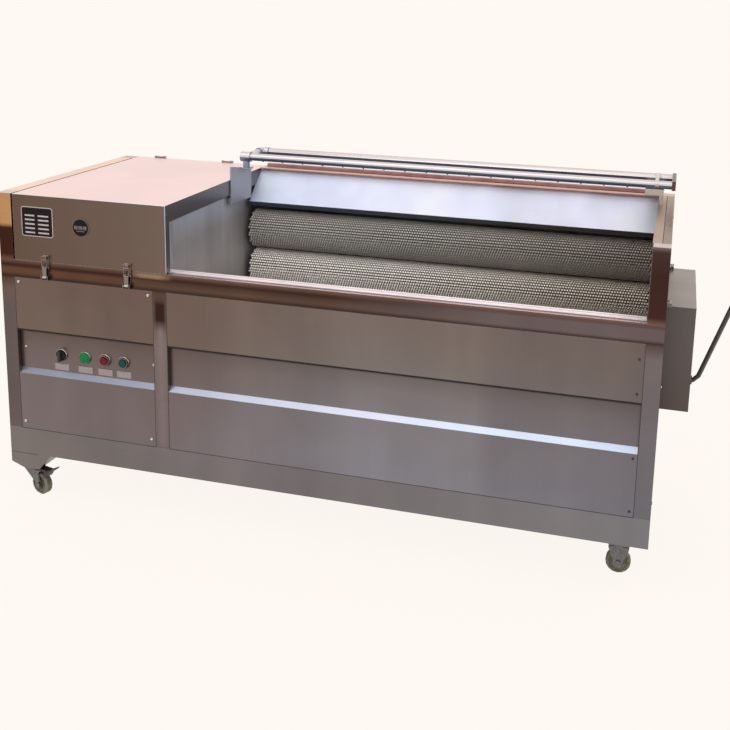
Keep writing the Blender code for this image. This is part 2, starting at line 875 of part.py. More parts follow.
def drive_bulkhead():
    right = bulkhead_x + bulkhead_thick
    wall = block((bulkhead_x, tube + fit, skirt_height + fit), (right, rear_panel_front - fit, bulkhead_top))
    wall = bored_wall(wall, bulkhead_x - boss_depth, bulkhead_x + sheet, bulkhead_x - tube, right + tube)
    node("drive_bulkhead", wall, "grey_steel")


def right_end():
    seam = body_length - tube / 2
    right = body_length - tube - fit
    left = right - sheet
    front = tube + fit
    low = skirt_height + fit
    window = rectangle(window_front, window_low, window_back, window_high)
    outline = rectangle(front, low, body_width - tube - fit, body_height)
    wall = plate(outline, [window], "x", left, right)
    flange = block((right - sheet / 2, front, body_height - sheet),
                   (seam - fit, body_width - tube - fit, body_height))
    wall = joined(wall, flange)
    wall = bored_wall(wall, right - sheet / 2, right + boss_depth, left - tube, right + tube)
    node("right_end_wall", wall, "grey_steel")

    outer = rectangle(front, low, body_width - tube - fit, body_height - tube - fit)
    panel = plate(outer, [window], "x", body_length - sheet, body_length)
    rim = rectangle(window_front - sheet, window_low - sheet, window_back + sheet, window_high + sheet)
    throat = plate(rim, [window], "x", right + fit, body_length - sheet / 2)
    panel = joined(panel, throat)
    for x, y_lug, y_end, y_pin in door_hinges():
        z = door_hinge_z()
        lug = block((body_length - sheet / 2, min(y_lug, y_end), z - door_knuckle),
                    (x + door_knuckle, max(y_lug, y_end), z + door_pin_radius * 2))
        pin = rod((x, y_lug, z), (x, y_pin, z), door_pin_radius, bore_sides)
        panel = joined(panel, lug, pin)
    node("right_end_panel", panel, "grey_steel")


def door_hinge_z():
    return door_high + door_knuckle_rise


def door_hinges():
    """Both outlet hinges: the axis x, then along y the lug's inner face, its outer face and the pin's end."""
    x = body_length + fit + door_knuckle + fit
    far = door_knuckle_length - sheet
    return [(x, door_back + fit, door_back + fit + door_lug, door_back - far),
            (x, door_front - fit, door_front - fit - door_lug, door_front + far)]


def outlet_door():
    left = body_length + fit
    right = body_length + door_depth
    shell = block((left, door_front, door_low), (right, door_back, door_high))
    hollow = block((left - overlap, door_front + sheet, door_low + sheet),
                   (right - sheet, door_back - sheet, door_high - sheet))
    door = cut(shell, hollow)
    z = door_hinge_z()
    for (x, _, _, _), low_y in zip(door_hinges(), (door_back - door_knuckle_length, door_front)):
        high_y = low_y + door_knuckle_length
        knuckle = rod((x, low_y, z), (x, high_y, z), door_knuckle, bore_sides)
        bore = rod((x, low_y - overlap, z), (x, high_y + overlap, z), door_pin_bore, bore_sides)
        door = cut(joined(door, knuckle), bore)
    x = door_hinges()[0][0]
    node("outlet_door", door, "grey_steel", (x, door_front, z))

    face = right + fit
    boss = rod((face, lever_y, lever_foot_z), (face + lever_boss_depth, lever_y, lever_foot_z),
               lever_boss_radius)
    arm = wire([(face + fit, lever_y, lever_foot_z), (face + lever_radius, lever_y, lever_foot_z),
                (right + lever_knee_reach, lever_y, lever_knee_z),
                (right + lever_end_reach, lever_y, lever_end_z)], lever_radius)
    node("door_lever", joined(boss, arm), "black_plastic", (face, lever_y, lever_foot_z), smooth=True)


def front_liner():
    left = bulkhead_x + bulkhead_thick + fit
    right = body_length - tube - sheet - fit * 2
    low = work_height + flange_lift
    back = liner_web + sheet
    outline = [(liner_front, low), (liner_web, low), (liner_web, liner_low), (back, liner_low),
               (back, low + sheet), (liner_front, low + sheet)]
    node("front_liner", plate(outline, [], "x", left, right), "rose_steel")


def splash_baffle():
    left = lid_right + fit
    right = body_length - tube - sheet - fit * 2
    back = body_width - tube - fit
    web = back - sheet
    run = Vector((web - baffle_foot_y, body_height - baffle_foot_z))
    lift = sheet * run.length / run.x
    outline = [(back, body_height), (back, body_height - baffle_flange), (web, body_height - baffle_flange),
               (web, body_height - lift * 2), (baffle_foot_y + sheet, baffle_foot_z - lift),
               (baffle_foot_y + sheet, baffle_foot_z - baffle_lip),
               (baffle_foot_y, baffle_foot_z - baffle_lip), (baffle_foot_y, baffle_foot_z),
               (web, body_height - lift), (web, body_height)]
    node("splash_baffle", plate(outline, [], "x", left, right), "pale_steel")


def drain_pan():
    left = mid_post_left + tube + fit * 2
    right = body_length - tube - sheet - fit * 2
    back = rear_panel_front - fit
    low = skirt_height + fit
    floor = block((left, pan_front, low), (right, back, low + sheet))
    rim = rectangle(left, pan_wall_front, right, back)
    hollow = rectangle(left + sheet, pan_wall_front + sheet, right - sheet, back - sheet)
    pan = joined(floor, plate(rim, [hollow], "z", low + sheet / 2, pan_rim))
    pan = joined(pan, rod((drain_x, u_centre_y, low + sheet / 2), (drain_x, u_centre_y, low - drain_drop),
                          drain_radius))
    pan = cut(pan, rod((drain_x, u_centre_y, low + overlap * 2),
                       (drain_x, u_centre_y, low - drain_drop - overlap), drain_bore))
    node("drain_pan", pan, "grey_steel")


# Drive

def motor_shelf():
    front = tube + fit
    back = body_width - tube - fit
    under = shelf_top - shelf_thick
    low = shelf_top - shelf_fold
    outline = [(front, shelf_top), (front, low), (front + shelf_thick, low), (front + shelf_thick, under),
               (back - shelf_thick, under), (back - shelf_thick, low), (back, low), (back, shelf_top)]
    node("motor_shelf", plate(outline, [], "x", sheet * 2 + fit, shelf_right), "grey_steel")


def gear_motor():
    y, z = u_centre_y, drive_z
    seat = shelf_top + fit
    half = gearbox_width / 2
    case = block((gearbox_left, y - half, seat), (gearbox_right, y + half, gearbox_top))
    foot = block((gearbox_left, y - gearbox_foot / 2, seat),
                 (gearbox_right, y + gearbox_foot / 2, seat + foot_thick))
    cover_right = motor_left + fan_cover_length
    body = rod((cover_right - overlap, y, z), (gearbox_left + overlap, y, z), motor_radius)
    cover = rod((motor_left, y, z), (cover_right, y, z), fan_cover_radius)
    boss = rod((gearbox_right - overlap, y, z), (gearbox_right + drive_boss_length, y, z), drive_boss_radius)
    middle = (cover_right + gearbox_left) / 2
    terminal = block((middle - terminal_length / 2, y - terminal_width / 2, z),
                     (middle + terminal_length / 2, y + terminal_width / 2, terminal_top))
    motor = joined(case, foot, body, cover, boss, terminal)
    end = gearbox_right + drive_boss_length
    bore = rod((end - drive_shaft_depth, y, z), (end + overlap, y, z), shaft_bore, bore_sides)
    node("gear_motor", cut(motor, bore), "cast_paint")

    wheel = plate(toothed_outline(), [], "x", sprocket_left, sprocket_left + sprocket_width)
    wheel.data.transform(Matrix.Translation((0, y, z)))
    shaft = rod((end - drive_shaft_depth + fit, y, z), (sprocket_left + sprocket_width + fit, y, z),
                shaft_radius)
    node("drive_sprocket", joined(wheel, shaft), "oiled_steel", (sprocket_left, y, z))


def loop_outline(centres, radius, bend):
    """The outline of a belt round circles of one radius, given clockwise, with chords of at most one bend."""
    outline = []
    count = len(centres)
    for i, centre in enumerate(centres):
        before = Vector(centre) - Vector(centres[i - 1])
        after = Vector(centres[(i + 1) % count]) - Vector(centre)
        start = math.atan2(before.x, -before.y)
        turn = (math.atan2(after.x, -after.y) - start) % -math.tau
        steps = 1 + int(abs(turn) / bend)
        reach = radius / math.cos(turn / steps / 2)
        outline += circle(centre, reach, steps + 1, start, turn, last=True)
    return outline


def drive_chain():
    centres = roller_centres() + [(u_centre_y, drive_z)]
    inner = sprocket_tip + chain_clearance
    middle = sprocket_left + sprocket_width / 2
    outer_line = loop_outline(centres, inner + chain_thick, chain_bend)
    inner_line = loop_outline(centres, inner, chain_bend)
    loop = plate(outer_line, [inner_line], "x", middle - chain_width / 2, middle + chain_width / 2)
    node("drive_chain", loop, "oiled_steel")


# Lid, hinges and latches

def hinge_axis():
    return body_width + hinge_back, body_height + hinge_rise


def drive_lid():
    back = body_width - tube - fit
    low = work_height + fit
    top = block((lid_left, 0, body_height - sheet), (lid_right, body_width, body_height))
    front = block((lid_left, 0, low), (lid_right, sheet, body_height))
    left = block((lid_left, 0, low), (lid_left + sheet, back, body_height))
    strip = body_height - lid_skirt_top
    outline = [(0, lid_flange_low), (lid_skirt_front, lid_flange_low), (lid_skirt_front, strip),
               (back, strip), (back, body_height), (0, body_height)]
    lid = joined(top, front, left, plate(outline, [], "x", lid_right - sheet, lid_right))
    for x in (catch_x_left, catch_x_right):
        lid = joined(lid, block((x - catch_width / 2, -catch_reach, catch_low),
                                (x + catch_width / 2, sheet / 2, catch_high)))
    y, z = hinge_axis()
    for x in (hinge_x_left, hinge_x_right):
        start, end = x - hinge_length / 2, x + hinge_length / 2
        bridge = block((start, body_width - tube / 2, body_height - sheet),
                       (end, y - hinge_bridge, body_height))
        knuckle = rod((start, y, z), (end, y, z), hinge_knuckle, bore_sides)
        bore = rod((start - overlap, y, z), (end + overlap, y, z), hinge_bore, bore_sides)
        lid = cut(joined(lid, bridge, knuckle), bore)
    node("drive_lid", lid, "brown_steel", (lid_left, y, z))


def lid_hinges():
    y, z = hinge_axis()
    for name, x in (("lid_hinge_left", hinge_x_left), ("lid_hinge_right", hinge_x_right)):
        reach = hinge_length / 2 + fit
        near = body_width + fit
        leaf = block((x - reach - hinge_lug, near, hinge_leaf_low),
                     (x + reach + hinge_lug, near + sheet, hinge_lug_start + overlap))
        pin = rod((x - reach - hinge_lug / 2, y, z), (x + reach + hinge_lug / 2, y, z), hinge_pin, bore_sides)
        lugs = [block((left, near + sheet / 2, hinge_lug_start),
                      (left + hinge_lug, y + hinge_knuckle, z + hinge_lug_rise))
                for left in (x - reach - hinge_lug, x + reach)]
        lugs_cut = block((x - reach - hinge_lug - overlap, near, z - hinge_knuckle),
                         (x + reach + hinge_lug + overlap, near + sheet + fit, body_height))
        bracket = cut(joined(leaf, apart(lugs)), lugs_cut)
        node(name, joined(bracket, pin), "grey_steel", (x, y, z))


def latches():
    for name, x in (("left", catch_x_left), ("right", catch_x_right)):
        half = latch_plate_width / 2
        y, z = latch_pivot_y, latch_pivot_z
        base = block((x - half, -fit - sheet, latch_plate_low), (x + half, -fit, latch_plate_high))
        ears = [block((left, -latch_ear_reach, latch_plate_low),
                      (left + latch_ear_thick, -fit - sheet / 2, latch_ear_high))
                for left in (x - half, x + half - latch_ear_thick)]
        inner = half - latch_ear_thick / 2
        pin = rod((x - inner, y, z), (x + inner, y, z), latch_pin, bore_sides)
        node("latch_base_" + name, joined(base, apart(ears), pin), "grey_steel")

        width = latch_lever_width / 2
        front = y - latch_lever_thick / 2
        lever = block((x - width, front, z), (x + width, front + latch_lever_thick, latch_lever_high))
        knuckle = rod((x - width, y, z), (x + width, y, z), latch_knuckle, bore_sides)
        side = latch_loop_width / 2
        loop = wire([(x - side + latch_loop_wire, y, latch_loop_low), (x - side, y, latch_lever_high),
                     (x - side, y, latch_loop_top), (x + side, y, latch_loop_top),
                     (x + side, y, latch_lever_high), (x + side - latch_loop_wire, y, latch_loop_low)],
                    latch_loop_wire, 1)
        bore = rod((x - half, y, z), (x + half, y, z), latch_pin_bore, bore_sides)
        node("latch_" + name, cut(joined(lever, knuckle, loop), bore), "chrome", (x, y, z))


# Spray pipes

def spray_pipes():
    elbow = (pipe_left, pipe_front_y, pipe_z)
    front = rod(elbow, (pipe_right + fit, pipe_front_y, pipe_z), pipe_radius)
    corner = rod((pipe_left - elbow_radius, pipe_front_y, pipe_z),
                 (pipe_left + elbow_radius, pipe_front_y, pipe_z), elbow_radius)
    neck = rod(elbow, (pipe_left, pipe_front_y, neck_foot), neck_radius)
    margin = pipe_end_margin
    cap = block((pipe_right, pipe_front_y - margin, pipe_z - margin),
                (pipe_right + pipe_end_plate, pipe_back_y + margin, pipe_z + margin))
    node("spray_pipe_front", joined(front, corner, neck, cap), "chrome", smooth=True)

    corner = Vector((pipe_left, pipe_back_y, pipe_z))
    link_end = (pipe_left, pipe_front_y + elbow_radius + fit, pipe_z)
    rear = wire([(pipe_right - fit, pipe_back_y, pipe_z), corner, link_end], pipe_radius)
    collars = [rod(corner + way * collar_start, corner + way * (collar_start + collar_length), collar_radius)
               for way in (Vector((1, 0, 0)), Vector((0, -1, 0)))]
    node("spray_pipe_rear", joined(rear, apart(collars)), "chrome", smooth=True)


def pipe_brackets():
    x = bracket_left_x
    outline = [(bracket_front, bracket_low), (bracket_back, bracket_low), (bracket_back, bracket_back_top),
               (bracket_front, bracket_front_top)]
    side = plate(outline, [], "x", x, x + bracket_thick)
    high = neck_foot - fit
    tab = block((x + bracket_thick / 2, pipe_front_y - bracket_tab_width / 2, high - bracket_tab_thick),
                (bracket_tab_x, pipe_front_y + bracket_tab_width / 2, high))
    side = joined(side, tab)
    wall = bulkhead_x + bulkhead_thick + fit
    for y in (bracket_front + standoff_inset, bracket_back - standoff_inset):
        high = bracket_low + standoff_height
        side = joined(side, block((wall, y - standoff_width / 2, bracket_low),
                                  (x + bracket_thick / 2, y + standoff_width / 2, high)))
    node("pipe_bracket_left", side, "pale_steel")

    under = pipe_z - pipe_radius - fit
    saddle = block((block_left, block_front - pipe_end_margin, block_low),
                   (block_right, block_back + pipe_end_margin, under))
    leg = block((block_leg, block_front, body_height + fit), (block_right, block_back, block_low + overlap))
    centres = [(pipe_front_y, pipe_z), (pipe_back_y, pipe_z)]
    inside = pipe_radius + fit
    outer_line = loop_outline(centres, inside + strap_thick, strap_bend)
    inner_line = loop_outline(centres, inside, strap_bend)
    strap = plate(outer_line, [inner_line], "x", strap_left, strap_left + strap_width)
    node("pipe_bracket_right", joined(saddle, leg, strap), "grey_steel")


def stand_on_origin():
    """Moves the washer so that its origin is on the floor, midway between its ends and its sides."""
    bpy.context.view_layer.update()
    points = [part.matrix_world @ vertex.co
              for part in washer_parts.objects if part.type == "MESH" for vertex in part.data.vertices]
    low = [min(point[i] for point in points) for i in range(3)]
    high = [max(point[i] for point in points) for i in range(3)]
    washer.location = (-(low[0] + high[0]) / 2, -(low[1] + high[1]) / 2, -low[2])
    print("body frame starts at", [round(value, 6) for value in washer.location])


base_frame()
front_frame()
rear_frame()
top_rails()
panels()
drive_front_panel()
wash_front_panel()
controls()
casters()
rollers()
drive_bulkhead()
right_end()
outlet_door()
front_liner()
splash_baffle()
drain_pan()
motor_shelf()
gear_motor()
drive_chain()
drive_lid()
lid_hinges()
latches()
spray_pipes()
pipe_brackets()
stand_on_origin()
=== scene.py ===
import math

import bmesh
import bpy
from mathutils import Matrix, Vector


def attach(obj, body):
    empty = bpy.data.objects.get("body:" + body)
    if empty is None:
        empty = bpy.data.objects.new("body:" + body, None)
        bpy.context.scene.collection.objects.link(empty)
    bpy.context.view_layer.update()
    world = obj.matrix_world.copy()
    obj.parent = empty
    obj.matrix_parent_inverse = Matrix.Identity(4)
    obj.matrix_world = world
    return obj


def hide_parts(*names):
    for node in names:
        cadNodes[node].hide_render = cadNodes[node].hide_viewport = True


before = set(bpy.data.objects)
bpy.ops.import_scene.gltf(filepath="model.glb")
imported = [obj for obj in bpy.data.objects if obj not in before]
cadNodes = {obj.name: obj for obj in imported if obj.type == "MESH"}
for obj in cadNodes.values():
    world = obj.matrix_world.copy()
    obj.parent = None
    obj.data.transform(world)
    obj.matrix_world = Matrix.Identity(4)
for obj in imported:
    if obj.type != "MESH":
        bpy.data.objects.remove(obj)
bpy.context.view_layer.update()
print("frame loaded:", len(cadNodes), "nodes")

# Lengths are in metres. Sizes given from the machine's own corner are moved by this to the frame.
machineCorner = Vector((-0.9548342, -0.33625, 0.128))
casterCorners = ("front_left", "back_left", "front_right", "back_right")


def inFrame(x, y, z):
    return machineCorner + Vector((x, y, z))


# Screen values from 0 to 255 as the shader wants them.
def tone(red, green, blue):
    values = []
    for part in (red, green, blue):
        part = part / 255
        values.append(part / 12.92 if part < 0.04045 else ((part + 0.055) / 1.055) ** 2.4)
    return (*values, 1.0)


# Shares that a color is multiplied by.
def shares(red, green, blue):
    return (red, green, blue, 1.0)


# Shader helpers

# Sets or links each named input of a node. in0 names the first one.
def feed(tree, node, **inputs):
    for key, value in inputs.items():
        socket = node.inputs[int(key[2:])] if key[:2] == "in" and key[2:].isdigit() else node.inputs[key]
        if isinstance(value, bpy.types.NodeSocket):
            tree.links.new(value, socket)
        else:
            socket.default_value = value
    return node


def adjust(thing, settings):
    for key, value in settings.items():
        setattr(thing, key, value)
    return thing


def addNode(tree, kind, settings=None, **inputs):
    return feed(tree, adjust(tree.nodes.new(kind), settings or {}), **inputs)


def addGroup(tree, group, **inputs):
    return addNode(tree, "ShaderNodeGroup", {"node_tree": group}, **inputs).outputs


def calculate(tree, operation, a, b=0.0, clamp=False):
    settings = {"operation": operation, "use_clamp": clamp}
    return addNode(tree, "ShaderNodeMath", settings, in0=a, in1=b).outputs[0]


def times(tree, a, b):
    return calculate(tree, "MULTIPLY", a, b)


def plus(tree, a, b):
    return calculate(tree, "ADD", a, b)


def vectorWork(tree, operation, a, **others):
    node = addNode(tree, "ShaderNodeVectorMath", {"operation": operation}, in0=a, **others)
    return node.outputs["Value" if operation in ("DOT_PRODUCT", "LENGTH") else "Vector"]


def blendColors(tree, share, first, second, how="MIX"):
    return addNode(tree, "ShaderNodeMix", {"data_type": "RGBA", "blend_type": how},
                   in0=share, in6=first, in7=second).outputs[2]


def mixShaders(tree, share, first, second):
    mix = addNode(tree, "ShaderNodeMixShader", in0=share, in1=first.outputs[0], in2=second.outputs[0])
    return mix.outputs[0]


def remap(tree, value, low, high, toLow=0.0, toHigh=1.0):
    return addNode(tree, "ShaderNodeMapRange", {"clamp": True}, in0=value, in1=low, in2=high, in3=toLow,
                   in4=toHigh).outputs[0]


def objectPlace(tree):
    return addNode(tree, "ShaderNodeTexCoord").outputs["Object"]


def partOf(tree, vector, axis):
    return addNode(tree, "ShaderNodeSeparateXYZ", Vector=vector).outputs[axis]


def noise(tree, spot, **values):
    return addNode(tree, "ShaderNodeTexNoise", Vector=spot, **values).outputs["Fac"]


def startMaterial(name):
    material = bpy.data.materials.new(name)
    material.use_nodes = True
    return material, material.node_tree, material.node_tree.nodes["Principled BSDF"]


# Modelling helpers

def deselect():
    bpy.ops.object.select_all(action="DESELECT")


def selectOnly(piece):
    deselect()
    piece.select_set(True)
    bpy.context.view_layer.objects.active = piece


# Goes into edit mode with only the wanted faces or edges selected, and does the work there.
def editParts(piece, wanted, work, kind="FACE"):
    selectOnly(piece)
    bpy.ops.object.mode_set(mode="EDIT")
    bpy.ops.mesh.select_mode(type=kind)
    bpy.ops.mesh.select_all(action="DESELECT")
    shape = bmesh.from_edit_mesh(piece.data)
    for part in shape.faces if kind == "FACE" else shape.edges:
        part.select_set(wanted(part))
    shape.select_flush_mode()
    bmesh.update_edit_mesh(piece.data)
    work()
    bpy.ops.object.mode_set(mode="OBJECT")


def inset(thickness, depth=0.0):
    bpy.ops.mesh.inset(thickness=thickness, depth=depth)


# Pushes the selected faces out, or in by a value below 0.
def push(value):
    bpy.ops.mesh.extrude_region_shrink_fatten(TRANSFORM_OT_shrink_fatten={"value": value})


def applyModifier(piece, kind, **settings):
    modifier = adjust(piece.modifiers.new("work", kind), settings)
    selectOnly(piece)
    bpy.ops.object.modifier_apply(modifier=modifier.name)


def bevelEdges(piece, width, segments=2):
    applyModifier(piece, "BEVEL", width=width, segments=segments, limit_method="ANGLE",
                  angle_limit=math.radians(40))


def repeatAlong(piece, count, gap):
    applyModifier(piece, "ARRAY", count=count, use_relative_offset=False, use_constant_offset=True,
                  constant_offset_displace=(gap, 0, 0))


def repeatAround(piece, count, step):
    deselect()
    bpy.ops.object.empty_add(location=(0, 0, 0))
    turner = bpy.context.object
    turner.rotation_euler.x = step
    applyModifier(piece, "ARRAY", count=count, use_relative_offset=False, use_object_offset=True,
                  offset_object=turner)
    bpy.data.objects.remove(turner)


def copyOf(piece):
    twin = piece.copy()
    twin.data = piece.data.copy()
    bpy.context.scene.collection.objects.link(twin)
    return twin


def joinPieces(pieces):
    deselect()
    for piece in pieces:
        piece.select_set(True)
    bpy.context.view_layer.objects.active = pieces[0]
    if len(pieces) > 1:
        bpy.ops.object.join()
    return pieces[0]


# Puts the object's place and turn into its mesh.
def settle(piece):
    bpy.context.view_layer.update()
    selectOnly(piece)
    bpy.ops.object.transform_apply(location=True, rotation=True, scale=True)
    return piece


def block(start, end):
    deselect()
    bpy.ops.mesh.primitive_cube_add(size=1, location=(start + end) / 2, scale=end - start)
    return settle(bpy.context.object)


def cylinder(radius, depth, sides, middle=(0, 0, 0), turn=(0, 0, 0)):
    deselect()
    bpy.ops.mesh.primitive_cylinder_add(vertices=sides, radius=radius, depth=depth, location=middle,
                                        rotation=turn)
    return settle(bpy.context.object)


finishes = {}
alongX = (0, math.pi / 2, 0)
towardFront = (math.pi / 2, 0, 0)
thin = {"width": 0.0002, "segments": 1}


def giveFinish(piece, *names):
    piece.data.materials.clear()
    for name in names:
        piece.data.materials.append(finishes[name])


# Joins what belongs together and gives it to its body.
def place(pieces, name, body):
    piece = settle(joinPieces(pieces))
    piece.name = name
    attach(piece, body)
    return piece


# The small boxes and rods that most pieces are made of, given from the machine's corner

def roundedBox(start, end, finish, width=0.0004, segments=2):
    box = block(inFrame(*start), inFrame(*end))
    bevelEdges(box, width, segments)
    giveFinish(box, finish)
    return box


def roundedRod(start, end, radius, finish, sides=20, width=0.0004):
    start, end = inFrame(*start), inFrame(*end)
    turn = (end - start).to_track_quat("Z", "Y").to_euler()
    rod = cylinder(radius, (end - start).length, sides, (start + end) / 2, turn)
    bevelEdges(rod, width)
    rod.data.shade_smooth()
    giveFinish(rod, finish)
    return rod


# Camera, world, floor and lamps

studio = {
    "cameraPlace": (0.7767658, -2.66125, 1.416),
    "axes": [(0.96428, 0.26389, 0.02279), (0.07482, -0.18884, -0.97915), (-0.25409, 0.94589, -0.20184)],
    "lens": {"sensor_width": 36, "lens": 50.99, "shift_x": -0.04625, "shift_y": -0.22123, "clip_end": 100},
    "backdrop": tone(255, 249, 243),
    "skyStrength": 0.92,
    "floorReach": 300.0, "floorRough": 0.9,
    "shadowShare": 0.05,
}
lamps = {
    "overheadSoftbox": {"place": (-0.6, -1.6, 3.4), "aim": (0, 0, 0.5), "data": {"size": 2.6, "energy": 26}},
    "sideSoftbox": {"place": (3.2, -1.2, 2.2), "aim": (0.4, 0, 0.5), "data": {"size": 1.8, "energy": 12}},
}


def setCamera():
    camera = bpy.data.objects.new("viewpoint", adjust(bpy.data.cameras.new("viewpoint"), studio["lens"]))
    bpy.context.scene.collection.objects.link(camera)
    right, down, forward = (Vector(axis).normalized() for axis in studio["axes"])
    turn = Matrix((right, -down, -forward)).transposed().to_4x4()
    camera.matrix_world = Matrix.Translation(studio["cameraPlace"]) @ turn
    bpy.context.scene.camera = camera


# 1 for what the camera, a mirror or a lens sees, 0 for light that falls on things.
def seenDirectly(tree):
    path = addNode(tree, "ShaderNodeLightPath").outputs
    mirrored = calculate(tree, "MAXIMUM", path["Is Camera Ray"], path["Is Glossy Ray"])
    return calculate(tree, "MAXIMUM", mirrored, path["Is Transmission Ray"])


def setWorld():
    world = bpy.data.worlds.new("paleStudio")
    world.use_nodes = True
    tree = world.node_tree
    sky = feed(tree, tree.nodes["Background"], Color=studio["backdrop"], Strength=studio["skyStrength"])
    backdrop = addNode(tree, "ShaderNodeBackground", Color=studio["backdrop"])
    feed(tree, tree.nodes["World Output"], Surface=mixShaders(tree, seenDirectly(tree), sky, backdrop))
    bpy.context.scene.world = world
    bpy.context.scene.view_settings.view_transform = "Standard"


def layFloor():
    deselect()
    bpy.ops.mesh.primitive_plane_add(size=studio["floorReach"] * 2, location=(0, 0, 0))
    floor = bpy.context.object
    floor.name = "studioFloor"
    material, tree, matte = startMaterial("studioFloor")
    feed(tree, matte, **{"Base Color": studio["backdrop"], "Roughness": studio["floorRough"]})
    glow = addNode(tree, "ShaderNodeEmission", Color=studio["backdrop"])
    share = times(tree, seenDirectly(tree), 1 - studio["shadowShare"])
    feed(tree, tree.nodes["Material Output"], Surface=mixShaders(tree, share, matte, glow))
    floor.data.materials.append(material)


def hangLamps():
    for name, values in lamps.items():
        lamp = bpy.data.objects.new(name, adjust(bpy.data.lights.new(name, "AREA"), values["data"]))
        bpy.context.scene.collection.objects.link(lamp)
        lamp.location = values["place"]
        aim = Vector(values["aim"]) - Vector(values["place"])
        lamp.rotation_euler = aim.to_track_quat("-Z", "Y").to_euler()


setCamera()
setWorld()
layFloor()
hangLamps()
print("studio ready")


# Shared shader groups

def newGroup(name, inputs, outputs):
    group = bpy.data.node_groups.new(name, "ShaderNodeTree")
    for way, sockets in (("INPUT", inputs), ("OUTPUT", outputs)):
        for label, kind in sockets.items():
            group.interface.new_socket(name=label, in_out=way, socket_type="NodeSocket" + kind)
    return group, group.nodes.new("NodeGroupInput").outputs, group.nodes.new("NodeGroupOutput")


facing = {"samples": 6, "edgeFrom": 0.01, "edgeTo": 0.22,
          "steelRadius": 0.0014, "chromeRadius": 0.0006, "plainRadius": 0.0008}


# How far a surface looks up or down, softened over its edges, and where its edges are.
def buildFacingGroup():
    group, given, out = newGroup("facing", {"Radius": "Float"},
                                 {"Up": "Float", "Edge": "Float", "Normal": "Vector"})
    soft = addNode(group, "ShaderNodeBevel", {"samples": facing["samples"]}, Radius=given["Radius"]).outputs[0]
    flat = addNode(group, "ShaderNodeNewGeometry").outputs["Normal"]
    away = calculate(group, "SUBTRACT", 1.0, vectorWork(group, "DOT_PRODUCT", soft, in1=flat))
    feed(group, out, Up=partOf(group, soft, "Z"), Normal=soft,
         Edge=remap(group, away, facing["edgeFrom"], facing["edgeTo"]))
    return group


grain = {"lines": {"Scale": 1.0, "Detail": 3.0, "Roughness": 0.6},
         "patches": {"Scale": 5.5, "Detail": 3.0, "Roughness": 0.45, "Distortion": 0.7},
         "bands": {"Scale": 1.0, "Detail": 2.0, "Roughness": 0.7}, "bandStretch": (4.5, 4.5, 0.35),
         "patchRough": 0.8, "lineRough": 0.5, "bump": 0.12, "depth": 0.0004}


# Fine lines of brushed sheet, stretched by Lines, with tall bands and soft patches of handling over them.
def buildGrainGroup():
    group, given, out = newGroup("sheetGrain", {
        "Color": "Color", "Lines": "Vector", "Strength": "Float", "Patches": "Float", "Bands": "Float",
        "Roughness": "Float", "Normal": "Vector"},
        {"Color": "Color", "Roughness": "Float", "Normal": "Vector"})
    spot = objectPlace(group)
    stretched = addNode(group, "ShaderNodeMapping", Vector=spot, Scale=given["Lines"]).outputs[0]
    tall = addNode(group, "ShaderNodeMapping", Vector=spot, Scale=grain["bandStretch"]).outputs[0]
    lines = noise(group, stretched, **grain["lines"])
    layers = ((lines, "Strength"), (noise(group, spot, **grain["patches"]), "Patches"),
              (noise(group, tall, **grain["bands"]), "Bands"))
    lift, drift, sweep = (times(group, calculate(group, "SUBTRACT", value, 0.5), given[share])
                          for value, share in layers)
    level = plus(group, plus(group, plus(group, lift, drift), sweep), 1.0)
    rough = plus(group, given["Roughness"], times(group, drift, grain["patchRough"]))
    rough = plus(group, rough, times(group, lift, grain["lineRough"]))
    bump = addNode(group, "ShaderNodeBump", Strength=grain["bump"], Distance=grain["depth"], Height=lines,
                   Normal=given["Normal"])
    feed(group, out, Color=vectorWork(group, "SCALE", given["Color"], Scale=level), Roughness=rough,
         Normal=bump.outputs[0])
    return group


cloud = {"Detail": 4.0, "Roughness": 0.65}
cloudLimits = (0.42, 0.72)


# Cloudy dirt in a color of its own.
def buildGrimeGroup():
    group, given, out = newGroup(
        "grime", {"Color": "Color", "Dirt": "Color", "Amount": "Float", "Size": "Float"},
        {"Color": "Color", "Mask": "Float"})
    dirty = remap(group, noise(group, objectPlace(group), Scale=given["Size"], **cloud), *cloudLimits)
    mask = calculate(group, "MULTIPLY", dirty, given["Amount"], clamp=True)
    feed(group, out, Color=blendColors(group, mask, given["Color"], given["Dirt"]), Mask=mask)
    return group


facingGroup = buildFacingGroup()
grainGroup = buildGrainGroup()
grimeGroup = buildGrimeGroup()


# Materials

# A ramp of colors from (place, color) stops, over a value that goes from 0 to 1.
def rampOver(tree, share, stops, read=tone):
    low, high = stops[0][0], stops[-1][0]
    ramp = addNode(tree, "ShaderNodeValToRGB", in0=share)
    elements = ramp.color_ramp.elements
    for i, (at, color) in enumerate(stops):
        element = elements[i] if i < 2 else elements.new(1.0)
        element.position = (at - low) / (high - low)
        element.color = read(*color)
    return ramp.outputs[0]


# A color that changes along one axis of the frame, from stops in metres.
def tonesAlong(tree, axis, stops, read=tone):
    along = partOf(tree, objectPlace(tree), axis)
    return rampOver(tree, remap(tree, along, stops[0][0], stops[-1][0]), stops, read)


# Where a patch of another reflection lies, softened at its borders along each axis.
def spotMask(tree, *borders):
    mask = 1.0
    for axis, (low, high), soft in borders:
        along = partOf(tree, objectPlace(tree), axis)
        rise, fall = remap(tree, along, low, low + soft), remap(tree, along, high, high - soft)
        mask = times(tree, times(tree, rise, fall), mask)
    return mask


